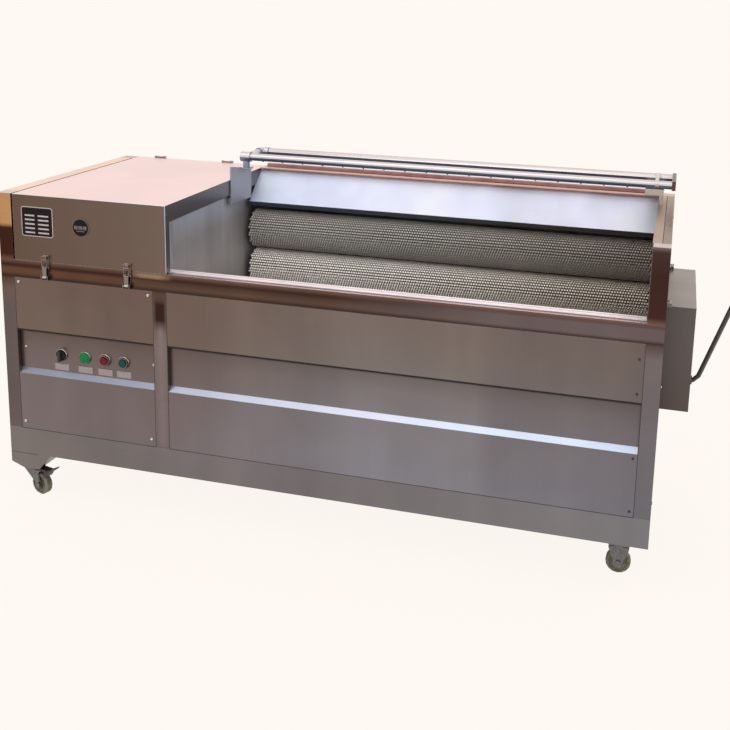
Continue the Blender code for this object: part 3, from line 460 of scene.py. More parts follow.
# Puts the sheet's grain over a color and feeds the shader with it.
def feedSheet(tree, shader, color, normal, values):
    sheet = addGroup(tree, grainGroup, Color=color, Lines=values["lines"], Strength=values["grain"],
                     Patches=values["patches"], Bands=values["bands"], Roughness=values["rough"],
                     Normal=normal)
    feed(tree, shader, **{"Base Color": sheet["Color"], "Roughness": sheet["Roughness"],
                          "Normal": sheet["Normal"], "Metallic": values["metal"]})


# Brushed sheet: colours of its edges, a painted highlight, of what faces down, a painted shade, of what faces
# up, a painted reflection, and of what faces sideways, whose stops and across shares also paint reflection
# bands and shade. The spots are painted reflections on the sides, each with its x and z limits, the softness of
# its border along both, and its tone.
steelDefaults = {"grain": 0.16, "patches": 0.3, "bands": 0.42, "metal": 1.0, "spots": []}
upLimits, downLimits = (0.25, 0.72), (-0.2, -0.8)
steelColumns = ("axis", "lines", "rough", "edgeShare", "down", "edge", "up", "side", "more")
steels = {
    # The lid's brown front and rose top are the same steel: the difference between them is painted reflection.
    "rosyLidSteel": ("X", (2, 2, 900), 0.36, 0.75, (70, 55, 48), (205, 200, 205), (244, 219, 219),
        [(-0.95, (104, 84, 74)), (-0.7, (112, 94, 84)), (-0.478, (118, 102, 92)), (-0.4665, (118, 102, 92)),
         (-0.4645, (122, 118, 120))],
        {"patches": 0.08, "bands": 0.1}),
    # Front panels: the dark stop just under 0.4925 is a painted shadow under the upper panel's lip, the browner
    # colours towards the top and the across shares paint reflection, and the bluish colours that face up are a
    # painted reflection on the ledges.
    "frontPanelSteel": ("Z", (900, 6, 6), 0.36, 0.35, (62, 52, 52), (150, 145, 150),
        [(-0.95, (140, 146, 164)), (-0.52, (144, 151, 170)), (-0.44, (160, 166, 184)), (0.1, (176, 182, 197)),
         (0.78, (180, 193, 216))],
        [(0.2, (129, 121, 125)), (0.36, (127, 117, 118)), (0.44, (121, 109, 107)), (0.478, (112, 99, 96)),
         (0.4922, (64, 54, 54)), (0.4928, (122, 108, 102)), (0.62, (120, 103, 95))],
        {"across": [(-0.95, (0.93, 0.9, 0.88)), (-0.47, (0.92, 0.88, 0.86)), (-0.05, (1.04, 1.14, 1.22)),
                    (0.1, (1.12, 1.27, 1.37)), (0.35, (1.07, 1.2, 1.28)), (0.4, (0.94, 1.05, 1.14)),
                    (0.78, (0.86, 0.95, 1.05))]}),
    # Frame tubes: the dark and light bands above 0.63 and the spots paint reflections on the rail and posts,
    # the tan spot on the rail a painted highlight, and the across shares a painted reflection along x.
    "frameTubeSteel": ("Z", (3, 3, 900), 0.26, 0.5, (70, 60, 58), (150, 138, 132), (210, 190, 188),
        [(0.2, (108, 104, 104)), (0.42, (112, 104, 102)), (0.6, (114, 101, 97)), (0.632, (92, 74, 66)),
         (0.64, (66, 48, 40)), (0.65, (94, 75, 66)), (0.662, (84, 64, 55)), (0.672, (62, 43, 36)),
         (0.684, (112, 86, 76)), (0.7, (68, 42, 34)), (0.8, (62, 40, 34)), (0.855, (70, 50, 44)),
         (0.866, (120, 104, 100))],
        {"grain": 0.24,
         "across": [(-0.95, (0.95, 0.84, 0.78)), (-0.47, (0.95, 0.94, 0.92)), (0.1, (1.02, 1.04, 1.1)),
                    (0.74, (1.06, 1.12, 1.28))],
         "spots": [((-0.96, -0.9), (0.772, 0.9), 0.012, 0.012, (186, 142, 100)),
                   ((-0.508, -0.46), (0.5, 0.632), 0.014, 0.03, (58, 38, 33)),
                   ((-0.516, -0.452), (0.19, 0.56), 0.03, 0.03, (130, 117, 116)),
                   ((0.0, 1.2), (0.639, 0.68), 0.4, 0.008, (106, 94, 95)),
                   ((-0.575, -0.445), (0.668, 0.686), 0.04, 0.006, (150, 124, 100)),
                   ((-1.2, -0.46), (0.646, 0.668), 0.1, 0.007, (99, 69, 55)),
                   ((-0.96, -0.9), (0.19, 0.62), 0.004, 0.06, (103, 91, 88))]}),
    "skirtSteel": ("X", (3, 3, 900), 0.33, 0.6, (80, 74, 74), (92, 84, 84), (170, 165, 165),
        [(-0.95, (124, 118, 116)), (0.0, (122, 117, 121)), (0.78, (127, 125, 130))]),
    "wallSheetSteel": ("Z", (500, 500, 3), 0.38, 0.5, (66, 60, 60), (170, 170, 175), (178, 168, 166),
        [(0.2, (96, 90, 88)), (0.55, (104, 99, 98)), (0.86, (140, 142, 150))]),
    "bulkheadSteel": ("Z", (260, 260, 2), 0.62, 0.6, (70, 66, 66), (200, 200, 206), (196, 196, 204),
        [(0.3, (172, 168, 169)), (0.64, (200, 197, 199)), (0.74, (182, 180, 184)), (0.82, (200, 209, 224))],
        {"grain": 0.5}),
    "splashSteel": ("X", (3, 300, 300), 0.62, 0.5, (52, 52, 56), (215, 225, 245),
        [(-0.47, (220, 230, 252)), (0.0, (227, 232, 251)), (0.5, (232, 236, 254))],
        [(-0.47, (70, 80, 96)), (0.2, (73, 71, 70)), (0.75, (64, 58, 55))],
        {"grain": 0.06}),
    "linerSteel": ("X", (3, 400, 400), 0.5, 0.7, (60, 54, 52), (246, 242, 248), (252, 240, 244),
        [(-0.47, (176, 168, 172)), (0.2, (186, 172, 172)), (0.75, (176, 160, 156))],
        {"grain": 0.08, "metal": 0.5}),
    "peachStripSteel": ("Y", (900, 3, 900), 0.3, 0.7, (70, 52, 42), (170, 110, 86), (240, 208, 188),
        [(-0.34, (150, 112, 88)), (0.34, (150, 112, 88))]),
    "backRailSteel": ("Z", (3, 3, 900), 0.26, 0.4, (70, 54, 50), (150, 124, 116), (202, 160, 158),
        [(0.2, (108, 104, 104)), (0.6, (114, 104, 101)), (0.72, (96, 82, 76)), (0.86, (120, 104, 96))]),
    "rightWallSteel": ("Z", (500, 3, 500), 0.4, 0.5, (66, 60, 60), (190, 184, 184), (186, 162, 147),
        [(0.2, (96, 90, 88)), (0.55, (104, 99, 98)), (0.86, (120, 112, 110))]),
    "rightRailSteel": ("Y", (900, 3, 900), 0.3, 0.6, (70, 52, 46), (170, 120, 100), (148, 124, 108),
        [(-0.34, (120, 100, 92)), (0.34, (130, 96, 80))],
        {"grain": 0.5}),
    "outletSteel": ("Z", (500, 500, 3), 0.4, 0.5, (60, 54, 52), (140, 134, 130), (158, 149, 145),
        [(0.4, (94, 86, 84)), (0.57, (102, 95, 94)), (0.7, (100, 96, 93))]),
    "bracketSteel": ("Z", (500, 500, 3), 0.5, 0.5, (80, 80, 88), (190, 194, 205), (205, 205, 214),
        [(0.78, (166, 166, 172)), (0.91, (170, 172, 182))]),
    "clampSteel": ("Z", (500, 3, 500), 0.34, 0.4, (90, 80, 76), (214, 210, 208), (214, 206, 202),
        [(0.85, (178, 166, 158)), (0.94, (190, 184, 180))]),
    "hemSteel": ("X", (3, 300, 300), 0.4, 0.4, (90, 90, 96), (240, 242, 248), (236, 240, 248),
        [(-0.95, (196, 204, 220)), (0.78, (206, 212, 226))]),
}


def makeSteel(tree, shader, row):
    values = {**steelDefaults, **dict(zip(steelColumns, row))}
    values.update(values.pop("more", {}))
    looks = addGroup(tree, facingGroup, Radius=facing["steelRadius"])
    # Painted light: the side stops, the across shares and the spots paint reflections, up is a painted
    # reflection on faces that look up, down a painted shade on faces that look down, and the edge colour a
    # painted highlight.
    color = tonesAlong(tree, values["axis"], values["side"])
    if "across" in values:
        color = blendColors(tree, 1.0, color, tonesAlong(tree, "X", values["across"], shares), "MULTIPLY")
    for x, z, softX, softZ, spotTone in values["spots"]:
        spot = spotMask(tree, ("X", x, softX), ("Z", z, softZ))
        color = blendColors(tree, spot, color, tone(*spotTone))
    up = tonesAlong(tree, "X", values["up"]) if isinstance(values["up"], list) else tone(*values["up"])
    color = blendColors(tree, remap(tree, looks["Up"], *upLimits), color, up)
    color = blendColors(tree, remap(tree, looks["Up"], *downLimits), color, tone(*values["down"]))
    edge = times(tree, looks["Edge"], values["edgeShare"])
    color = blendColors(tree, edge, color, tone(*values["edge"]))
    feedSheet(tree, shader, color, looks["Normal"], values)


# Bright tube: a painted reflection and shade by how far the round surface looks up, pale above and dark below,
# and a darker plate past plateFrom
chromeDefaults = {"lines": (4, 300, 300), "grain": 0.08, "patches": 0.12, "bands": 0.05, "metal": 1.0,
                  "plateSoft": 0.0004}
chromes = {
    "sprayPipeChrome": {"rough": 0.34, "metal": 0.75, "plateFrom": 0.775, "plate": (92, 70, 60),
        "tones": [(0.0, (96, 104, 124)), (0.4, (112, 122, 144)), (0.5, (140, 152, 172)),
                  (0.57, (196, 206, 220)), (0.64, (220, 213, 216)), (0.74, (220, 212, 214)),
                  (0.84, (186, 183, 194)), (0.92, (206, 200, 204)), (1.0, (222, 210, 206))]},
    "latchChrome": {"rough": 0.24,
        "tones": [(0.0, (50, 44, 42)), (0.42, (96, 88, 86)), (0.52, (138, 130, 128)), (0.62, (186, 180, 178)),
                  (1.0, (206, 198, 196))]},
    "bezelChrome": {"rough": 0.16,
        "tones": [(0.0, (56, 50, 50)), (0.42, (96, 88, 88)), (0.55, (156, 150, 152)), (0.75, (226, 222, 224)),
                  (1.0, (216, 210, 210))]},
    "screwSteel": {"rough": 0.22,
        "tones": [(0.0, (80, 74, 72)), (0.45, (150, 146, 146)), (0.6, (232, 230, 232)),
                  (1.0, (240, 238, 240))]},
}


def makeChrome(tree, shader, given):
    values = {**chromeDefaults, **given}
    looks = addGroup(tree, facingGroup, Radius=facing["chromeRadius"])
    color = rampOver(tree, remap(tree, looks["Up"], -1.0, 1.0), values["tones"])
    if "plateFrom" in values:
        isPlate = remap(tree, partOf(tree, objectPlace(tree), "X"), values["plateFrom"],
                        values["plateFrom"] + values["plateSoft"])
        color = blendColors(tree, isPlate, color, tone(*values["plate"]))
    feedSheet(tree, shader, color, looks["Normal"], values)


# Plain finishes: paint, plastic, rubber and bare iron, each with its own dirt and a painted highlight along its
# edges
plainDefaults = {"metal": 0.0, "bump": 0.05, "shine": 0.5, "depth": 0.0006, "dirtRough": 0.25,
                 "edgeShare": 0.35, "edgeLift": 1.7}
plainColumns = ("color", "dirt", "amount", "grain", "rough", "bump", "metal", "shine")
plains = {
    "casterZinc": ((118, 117, 119), (66, 63, 58), 0.45, 140, 0.42, 0.1, 0.75),
    "wheelPolymer": ((122, 121, 102), (50, 48, 34), 0.75, 90, 0.62, 0.16),
    "knobBlack": ((26, 25, 27), (52, 50, 52), 0.2, 400, 0.42, 0.08),
    "leverPaint": ((84, 80, 82), (56, 50, 50), 0.4, 80, 0.38, 0.08, 0.6),
    "stopRed": ((104, 14, 26), (80, 14, 24), 0.3, 300, 0.32, 0.04, 0.0, 0.2),
    "startTeal": ((14, 66, 66), (10, 48, 54), 0.3, 300, 0.32, 0.04, 0.0, 0.2),
    "motorEnamel": ((58, 86, 98), (34, 44, 50), 0.45, 50, 0.48, 0.2),
    "oiledSteel": ((112, 104, 96), (46, 38, 30), 0.6, 120, 0.36, 0.1, 0.9),
    "rollerCore": ((112, 106, 92), (70, 64, 52), 0.6, 60, 0.8, 0.2),
    "plateDark": ((26, 19, 24), (52, 42, 46), 0.3, 160, 0.55, 0.05, 0.0, 0.1),
    "platePale": ((182, 168, 166), (138, 124, 122), 0.35, 160, 0.36, 0.05, 0.4),
    "labelPale": ((154, 143, 148), (120, 108, 112), 0.3, 160, 0.45),
    "darkSealantAndSeamShade": ((66, 56, 56), (34, 28, 28), 0.6, 60, 0.7, 0.1),
    "seamRose": ((168, 128, 122), (130, 90, 84), 0.4, 40, 0.5, 0.05, 0.3),
    "plateField": ((196, 186, 192), (96, 84, 90), 0.7, 420, 0.45, 0.05, 0.2),
    "badgeGrey": ((112, 100, 100), (58, 48, 48), 0.5, 260, 0.36, 0.05, 0.5),
    "peachCover": ((226, 184, 164), (206, 160, 140), 0.4, 18, 0.42, 0.03, 0.3),
    "capRedBrown": ((182, 145, 147), (138, 94, 88), 0.5, 30, 0.5, 0.04, 0.4),
    "paintedShadowDark": ((30, 24, 24), (18, 14, 14), 0.4, 90, 0.8),
}


def makePlain(tree, shader, row):
    values = {**plainDefaults, **dict(zip(plainColumns, row))}
    looks = addGroup(tree, facingGroup, Radius=facing["plainRadius"])
    color = tone(*values["color"])
    grime = addGroup(tree, grimeGroup, Color=color, Dirt=tone(*values["dirt"]), Amount=values["amount"],
                     Size=values["grain"])
    # Painted highlight: the edges are lifted towards a paler colour.
    pale = [min(1.0, part * values["edgeLift"]) for part in color]
    edge = times(tree, looks["Edge"], values["edgeShare"])
    bump = addNode(tree, "ShaderNodeBump", Strength=values["bump"], Distance=values["depth"],
                   Height=grime["Mask"], Normal=looks["Normal"])
    rough = plus(tree, times(tree, grime["Mask"], values["dirtRough"]), values["rough"])
    feed(tree, shader, **{"Base Color": blendColors(tree, edge, grime["Color"], pale),
                          "Normal": bump.outputs[0], "Roughness": rough, "Metallic": values["metal"],
                          "Specular IOR Level": values["shine"]})


# The shares along x paint shadow over the rollers' right ends. Each roller's level is painted light and shade:
# the top roller darker in the baffle's shadow, the next one lighter.
bristle = {"tip": tone(250, 248, 246), "shade": tone(220, 217, 211), "root": tone(206, 202, 194),
           "across": [(-0.42, (1.19, 1.17, 1.18)), (0.15, (1.0, 0.98, 0.97)), (0.75, (0.76, 0.69, 0.62))],
           "each": {"Scale": 160.0, "Detail": 2.0}, "wide": {"Scale": 7.0, "Detail": 2.0},
           "eachLimits": (0.35, 0.65), "wideLimits": (0.35, 0.75, 0.0, 0.4), "heightLimits": (0.25, 0.95),
           "lightLimits": (-0.7, 0.35, 0.26, 1.0), "bump": 0.3, "depth": 0.0006, "rough": 0.7, "sheen": 0.15,
           "wear": {1: 0.76, 2: 1.45}, "otherWear": 0.95}


# Tufts that are pale at the tip and darker at the root, a painted shade between the tufts, by the mesh's own
# tipShade value. Faces that look up are painted lighter, and each roller's own level paints light and shade
# over it.
def makeBristle(tree, shader, values):
    height, wear = (addNode(tree, "ShaderNodeAttribute", {"attribute_name": key}).outputs["Fac"]
                    for key in ("tipShade", "wear"))
    each, wide = (noise(tree, objectPlace(tree), **values[key]) for key in ("each", "wide"))
    top = blendColors(tree, remap(tree, each, *values["eachLimits"]), values["tip"], values["shade"])
    top = blendColors(tree, remap(tree, wide, *values["wideLimits"]), top, values["shade"])
    color = blendColors(tree, remap(tree, height, *values["heightLimits"]), values["root"], top)
    color = blendColors(tree, 1.0, color, tonesAlong(tree, "X", values["across"], shares), "MULTIPLY")
    # Painted light: faces that look up are lighter, scaled by the roller's own level.
    upward = partOf(tree, addNode(tree, "ShaderNodeNewGeometry").outputs["Normal"], "Z")
    level = times(tree, remap(tree, upward, *values["lightLimits"]), wear)
    bump = addNode(tree, "ShaderNodeBump", Strength=values["bump"], Distance=values["depth"], Height=each)
    feed(tree, shader, **{"Base Color": vectorWork(tree, "SCALE", color, Scale=level),
                          "Normal": bump.outputs[0], "Roughness": values["rough"],
                          "Sheen Weight": values["sheen"]})


lens = {"deep": tone(4, 92, 48), "pale": tone(8, 120, 68), "glow": tone(20, 150, 80), "glowStrength": 0.08,
        "ribs": {"Scale": 500.0, "Detail": 1.0}, "ribLimits": (0.3, 0.7), "rough": 0.3, "shine": 0.2}


def makeLens(tree, shader, values):
    ribs = remap(tree, noise(tree, objectPlace(tree), **values["ribs"]), *values["ribLimits"])
    feed(tree, shader, **{"Base Color": blendColors(tree, ribs, values["deep"], values["pale"]),
                          "Roughness": values["rough"], "Specular IOR Level": values["shine"],
                          "Emission Color": values["glow"], "Emission Strength": values["glowStrength"]})


# The pivots are the left casters' swivels, with the way that each one's pedal points.
forkFinish = {"pivots": ((0.052, 0.032, -15), (0.052, 0.642, -40)), "pedalLimits": (0.0275, 0.0285),
              "reachLimits": (0.12, 0.11), "pedal": tone(38, 28, 26), "amount": 0.5,
              "metal": 0.75, "bump": 0.12, "depth": 0.0005, "rough": 0.45}


# Zinc plated fork whose brake pedal, further out than the wheel's axle, is black.
def makeForkFinish(tree, shader, values):
    color, dirt, _, size = plains["casterZinc"][:4]
    grime = addGroup(tree, grimeGroup, Color=tone(*color), Dirt=tone(*dirt), Amount=values["amount"], Size=size)
    masks = []
    for x, y, angle in values["pivots"]:
        pivot = inFrame(x, y, 0)
        out = (math.cos(math.radians(angle)), math.sin(math.radians(angle)), 0)
        apart = vectorWork(tree, "SUBTRACT", objectPlace(tree), in1=(pivot.x, pivot.y, 0))
        reach = vectorWork(tree, "DOT_PRODUCT", apart, in1=out)
        near = vectorWork(tree, "LENGTH", vectorWork(tree, "MULTIPLY", apart, in1=(1, 1, 0)))
        masks.append(times(tree, remap(tree, reach, *values["pedalLimits"]),
                           remap(tree, near, *values["reachLimits"])))
    mask = calculate(tree, "MAXIMUM", *masks)
    metal = times(tree, calculate(tree, "SUBTRACT", 1.0, mask), values["metal"])
    bump = addNode(tree, "ShaderNodeBump", Strength=values["bump"], Distance=values["depth"],
                   Height=grime["Mask"])
    feed(tree, shader, **{"Base Color": blendColors(tree, mask, grime["Color"], values["pedal"]),
                          "Metallic": metal, "Normal": bump.outputs[0], "Roughness": values["rough"]})


for make, table in ((makeSteel, steels), (makeChrome, chromes), (makePlain, plains),
                    (makeBristle, {"bristleNylon": bristle}), (makeLens, {"lampLens": lens}),
                    (makeForkFinish, {"casterForkFinish": forkFinish})):
    for name, values in table.items():
        finishes[name], tree, shader = startMaterial(name)
        make(tree, shader, values)

nodeFinish = {
    "frontPanelSteel": "drive_front_panel wash_front_panel",
    "frameTubeSteel": "front_frame",
    "skirtSteel": "base_frame",
    "backRailSteel": "rear_frame",
    "rightRailSteel": "right_top_rail",
    "rightWallSteel": "right_end_wall",
    "peachStripSteel": "left_top_rail",
    "wallSheetSteel": "rear_panel left_side_panel right_end_panel drain_pan motor_shelf lid_hinge_left "
                      "lid_hinge_right",
    "bulkheadSteel": "drive_bulkhead",
    "splashSteel": "splash_baffle",
    "linerSteel": "front_liner",
    "rosyLidSteel": "drive_lid",
    "outletSteel": "outlet_door",
    "bracketSteel": "pipe_bracket_left",
    "clampSteel": "pipe_bracket_right",
    "sprayPipeChrome": "spray_pipe_front spray_pipe_rear",
    "latchChrome": "latch_left latch_right latch_base_left latch_base_right",
    "leverPaint": "door_lever",
    "knobBlack": "switch_knob",
    "lampLens": "power_lamp",
    "stopRed": "stop_button",
    "startTeal": "start_button",
    "motorEnamel": "gear_motor",
    "oiledSteel": "drive_chain drive_sprocket " + " ".join("roller_sprocket_" + str(i) for i in range(1, 9)),
    "casterForkFinish": " ".join("caster_fork_" + corner for corner in casterCorners),
    "wheelPolymer": " ".join("caster_wheel_" + corner for corner in casterCorners),
}
for finish, names in nodeFinish.items():
    for name in names.split():
        giveFinish(cadNodes[name], finish)
print("finishes ready:", len(finishes))


# Brush rollers: one dense roller is modelled round the x axis, then copied to the eight shafts

roller = {
    "left": 0.4935, "right": 1.693, "coreRadius": 0.043, "tipRadius": 0.0588, "shaftRadius": 0.0124,
    "tuftWide": 0.0031, "tuftNarrow": 0.002, "tuftSides": 5, "tuftGap": 0.0076, "tuftPoint": -0.0012,
    "rows": 45, "slant": 3, "endGap": 0.004, "rowShift": 1.7,
    "coreSides": 32, "coreShort": 0.006, "coreBevel": 0.0008, "stub": 0.018, "turnEach": 37,
    "stack": [(0.578, 0.559)], "middleY": 0.3425, "middleZ": 0.435, "ring": 0.2355, "ringCount": 7,
    "ringStep": 30,
}


def rollerPlaces():
    places = list(roller["stack"])
    for i in range(roller["ringCount"]):
        angle = math.radians(90 - i * roller["ringStep"])
        places.append((roller["middleY"] + roller["ring"] * math.sin(angle),
                       roller["middleZ"] - roller["ring"] * math.cos(angle)))
    return places


def makeTuft():
    length = roller["tipRadius"] - roller["coreRadius"]
    deselect()
    bpy.ops.mesh.primitive_cone_add(vertices=roller["tuftSides"], radius1=roller["tuftNarrow"],
                                    radius2=roller["tuftWide"], depth=length, end_fill_type="NGON",
                                    location=(0, 0, roller["coreRadius"] + length / 2))
    tuft = settle(bpy.context.object)
    editParts(tuft, lambda face: face.normal.z < -0.9, lambda: bpy.ops.mesh.delete(type="FACE"))
    editParts(tuft, lambda face: face.normal.z > 0.9, lambda: bpy.ops.mesh.poke(offset=roller["tuftPoint"]))
    shade = tuft.data.attributes.new("tipShade", "FLOAT", "POINT")
    for vertex, value in zip(tuft.data.vertices, shade.data):
        value.value = (vertex.co.z - roller["coreRadius"]) / length
    giveFinish(tuft, "bristleNylon")
    return tuft


def makeRoller():
    step = math.tau / roller["rows"]
    first = makeTuft()
    lined = [first]
    for i in range(1, roller["slant"]):
        tuft = copyOf(first)
        shift = Matrix.Translation((-roller["tuftGap"] * i / roller["slant"], 0, 0))
        tuft.data.transform(Matrix.Rotation(step * i, 4, "X") @ shift)
        lined.append(tuft)
    tufts = joinPieces(lined)
    length = roller["right"] - roller["left"]
    count = int((length - roller["endGap"]) / roller["tuftGap"])
    start = roller["left"] + (length - (count - roller["rowShift"]) * roller["tuftGap"]) / 2
    tufts.data.transform(Matrix.Translation((machineCorner.x + start, 0, 0)))
    repeatAlong(tufts, count, roller["tuftGap"])
    repeatAround(tufts, roller["rows"] // roller["slant"], step * roller["slant"])

    middle = machineCorner.x + (roller["left"] + roller["right"]) / 2
    core = cylinder(roller["coreRadius"], length - roller["coreShort"], roller["coreSides"], (middle, 0, 0),
                    alongX)
    giveFinish(core, "rollerCore")

    # Each end face is drawn out to the shaft's stub.
    def drawStub():
        inset(roller["coreRadius"] - roller["shaftRadius"])
        push(roller["stub"])

    editParts(core, lambda face: abs(face.normal.x) > 0.9, drawStub)
    bevelEdges(core, roller["coreBevel"], 1)
    return joinPieces([tufts, core])


def dressRollers():
    pattern = makeRoller()
    for i, (y, z) in enumerate(rollerPlaces(), start=1):
        piece = copyOf(pattern)
        turn = Matrix.Rotation(math.radians(roller["turnEach"] * i), 4, "X")
        middle = inFrame(0, y, z)
        piece.data.transform(Matrix.Translation((0, middle.y, middle.z)) @ turn)
        # Each roller's own level of painted light and shade.
        level = bristle["wear"].get(i, bristle["otherWear"])
        wear = piece.data.attributes.new("wear", "FLOAT", "POINT")
        wear.data.foreach_set("value", [level] * len(piece.data.vertices))
        place([piece], "brushRoller" + str(i), "roller_" + str(i))
        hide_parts("brush_roller_" + str(i))
    print("tuft faces on a roller:", len(pattern.data.polygons))
    bpy.data.objects.remove(pattern)


dressRollers()
print("rollers dressed")


# Small screws, modelled once and set where the rows say, from the machine's corner

screw = {"radius": 0.0042, "height": 0.0022, "sides": 16, "bevel": 0.0009, "socket": 0.0017,
         "socketDepth": 0.0011}
front, back, left, right, top = (0, -1, 0), (0, 1, 0), (-1, 0, 0), (1, 0, 0), (0, 0, 1)
heights = (0.092, 0.388, 0.682)
# The way that the heads face, their size and their places
screwRows = {
    "drivePanelScrews": (front, 1.0, [(x, 0.0, z) for z in (0.497, 0.097) for x in (0.052, 0.438)]),
    "stripScrews": (front, 0.8, [(0.056, 0.013, 0.31), (0.442, 0.013, 0.302)]),
    "washPanelScrews": (front, 0.8, [(1.688, 0.0, 0.47), (1.688, 0.0, 0.385), (1.69, 0.0, 0.225),
                                     (1.69, 0.0, 0.09)]),
    "rearPanelScrews": (back, 1.0, [(0.058 + i * 0.232, 0.643, z) for i in range(8) for z in heights]),
    "leftPanelScrews": (left, 0.8, [(0.002, y, z) for y in (0.056, 0.337, 0.618) for z in heights]),
    "rightPanelScrews": (right, 0.9, [(1.74, y, z) for y in (0.056, 0.618) for z in heights]),
    "hingeScrews": (back, 0.7, [(x, 0.6763, 0.71) for x in (0.108, 0.119, 0.13, 0.344, 0.355, 0.366)]),
    "latchScrews": (front, 0.32, [(middle + x, -0.0023, z) for middle in (0.139, 0.381)
                                  for x in (-0.0082, 0.0082) for z in (0.5145, 0.5445)]),
    "terminalScrews": (top, 0.6, [(0.165 + x, 0.3425 + y, 0.662) for x in (-0.034, 0.034)
                                  for y in (-0.029, 0.029)]),
    "gearboxBolts": (top, 1.3, [(0.356 + x, 0.3425 + y, 0.652) for x in (-0.034, 0.034)
                                for y in (-0.046, 0.046)]),
}


def makeScrew():
    head = cylinder(screw["radius"], screw["height"], screw["sides"], (0, 0, screw["height"] / 2))
    bevelEdges(head, screw["bevel"])

    def sinkSocket():
        inset((screw["radius"] - screw["bevel"]) - screw["socket"])
        push(-screw["socketDepth"])

    editParts(head, lambda face: face.normal.z > 0.9 and len(face.verts) > 8, sinkSocket)
    head.data.shade_smooth()
    return head


def setScrews():
    pattern = makeScrew()
    for name, (faces, size, spots) in screwRows.items():
        turn = Vector(faces).to_track_quat("Z", "X").to_matrix().to_4x4()
        heads = []
        for spot in spots:
            head = copyOf(pattern)
            head.data.transform(Matrix.Translation(inFrame(*spot)) @ turn @ Matrix.Scale(size, 4))
            heads.append(head)
        row = place(heads, name, "machine")
        giveFinish(row, "darkSealantAndSeamShade" if name == "washPanelScrews" else "screwSteel")
    bpy.data.objects.remove(pattern)


setScrews()
print("screws set")


# Bare nameplate and round badge on the lid's front. Their small blank fields are given from x and z.

nameplate = {"x": 0.071, "z": 0.707, "wide": 0.095, "tall": 0.081, "thick": 0.0012, "corner": 0.007,
             "finishes": ("platePale", "plateDark", "plateField"), "border": 0.0026,
             "steps": [(0.0006, -0.0004)], "dished": False, "proud": 0.0001, "fields": [
                 (left, right, -0.0262 - row * 0.0115, -0.022 - row * 0.0115)
                 for row in range(5) for left, right in ((0.011, 0.04), (0.05, 0.082))]}
badge = {"x": 0.248, "z": 0.661, "radius": 0.025, "sides": 48, "thick": 0.0016,
         "finishes": ("badgeGrey", "plateDark", "badgeGrey"), "border": 0.0022,
         "steps": [(0.0008, -0.0005), (0.01, 0.0006)], "dished": True, "proud": 0.0003, "fields": [
             (-0.019, -0.008, -0.005, 0.005), (-0.006, 0.005, -0.005, 0.005),
             (0.007, 0.018, -0.005, 0.005), (-0.012, 0.012, -0.0105, -0.008)]}
plateBevel, fieldSunk = 0.0003, 0.0006


# Gives the front a border, steps and fields, and the plate to the lid.
def finishPlate(plate, name, values):
    rim, face, field = values["finishes"]
    giveFinish(plate, rim, face)

    def dressFront():
        inset(values["border"])
        bpy.context.object.active_material_index = 1
        bpy.ops.object.material_slot_assign()
        for step in values["steps"]:
            inset(*step)
        if values["dished"]:
            bpy.ops.mesh.poke()

    editParts(plate, lambda face: face.normal.y < -0.9, dressFront)
    bevelEdges(plate, plateBevel, 1)
    x, z, thick = values["x"], values["z"], values["thick"]
    front, back = -thick - values["proud"], fieldSunk - thick
    fields = [roundedBox((x + left, front, z + low), (x + right, back, z + high), field, **thin)
              for left, right, low, high in values["fields"]]
    place([plate] + fields, name, "lid")


def makeNameplate():
    x, z = nameplate["x"], nameplate["z"]
    plate = block(inFrame(x, -nameplate["thick"], z - nameplate["tall"]), inFrame(x + nameplate["wide"], 0, z))
    editParts(plate, lambda edge: abs((edge.verts[1].co - edge.verts[0].co).normalized().y) > 0.9,
              lambda: bpy.ops.mesh.bevel(offset=nameplate["corner"], segments=4, affect="EDGES"), "EDGE")
    finishPlate(plate, "bareNameplate", nameplate)


def makeBadge():
    middle = inFrame(badge["x"], -badge["thick"] / 2, badge["z"])
    plate = cylinder(badge["radius"], badge["thick"], badge["sides"], middle, towardFront)
    finishPlate(plate, "roundBadge", badge)


makeNameplate()
makeBadge()
print("lid plates made")


# Controls: a bright bezel round each, and a bare label plate under it

controls = {"height": 0.298, "face": 0.0135, "outer": 0.0172, "inner": 0.015, "deep": 0.0045, "sides": 40,
            "places": {"switch": 0.166, "lamp": 0.238, "stop": 0.298, "start": 0.354},
            "labelWidth": 0.043, "labelHeight": 0.018, "labelDrop": 0.0345, "labelThick": 0.0012,
            "labelBack": 0.013, "labelBevel": 0.0003, "labelSteps": [(0.0014, 0.0), (0.0004, -0.0003)],
            "bezelBevel": 0.001}


def makeBezel(name, x):
    middle = inFrame(x, controls["face"] - controls["deep"] / 2, controls["height"])
    ring = cylinder(controls["outer"], controls["deep"], controls["sides"], middle, towardFront)
    editParts(ring, lambda face: abs(face.normal.y) > 0.9, lambda: inset(controls["outer"] - controls["inner"]))
    editParts(ring, lambda face: abs(face.normal.y) > 0.9 and len(face.verts) > 8,
              lambda: bpy.ops.mesh.bridge_edge_loops())
    bevelEdges(ring, controls["bezelBevel"])
    ring.data.shade_smooth()
    giveFinish(ring, "bezelChrome")
    place([ring], name, "machine")


def makeLabels():
    back, half = controls["labelBack"], controls["labelHeight"] / 2
    plates = []
    for middle in controls["places"].values():
        left, height = middle - controls["labelWidth"] / 2, controls["height"] - controls["labelDrop"]
        plate = roundedBox((left, back - controls["labelThick"], height - half),
                           (left + controls["labelWidth"], back, height + half), "labelPale",
                           controls["labelBevel"])
        editParts(plate, lambda face: face.normal.y < -0.99 and face.calc_area() > 0.0001,
                  lambda: [inset(*step) for step in controls["labelSteps"]])
        plates.append(plate)
    place(plates, "labelPlates", "machine")


for controlName, controlX in controls["places"].items():
    makeBezel(controlName + "Bezel", controlX)
makeLabels()
print("controls dressed")


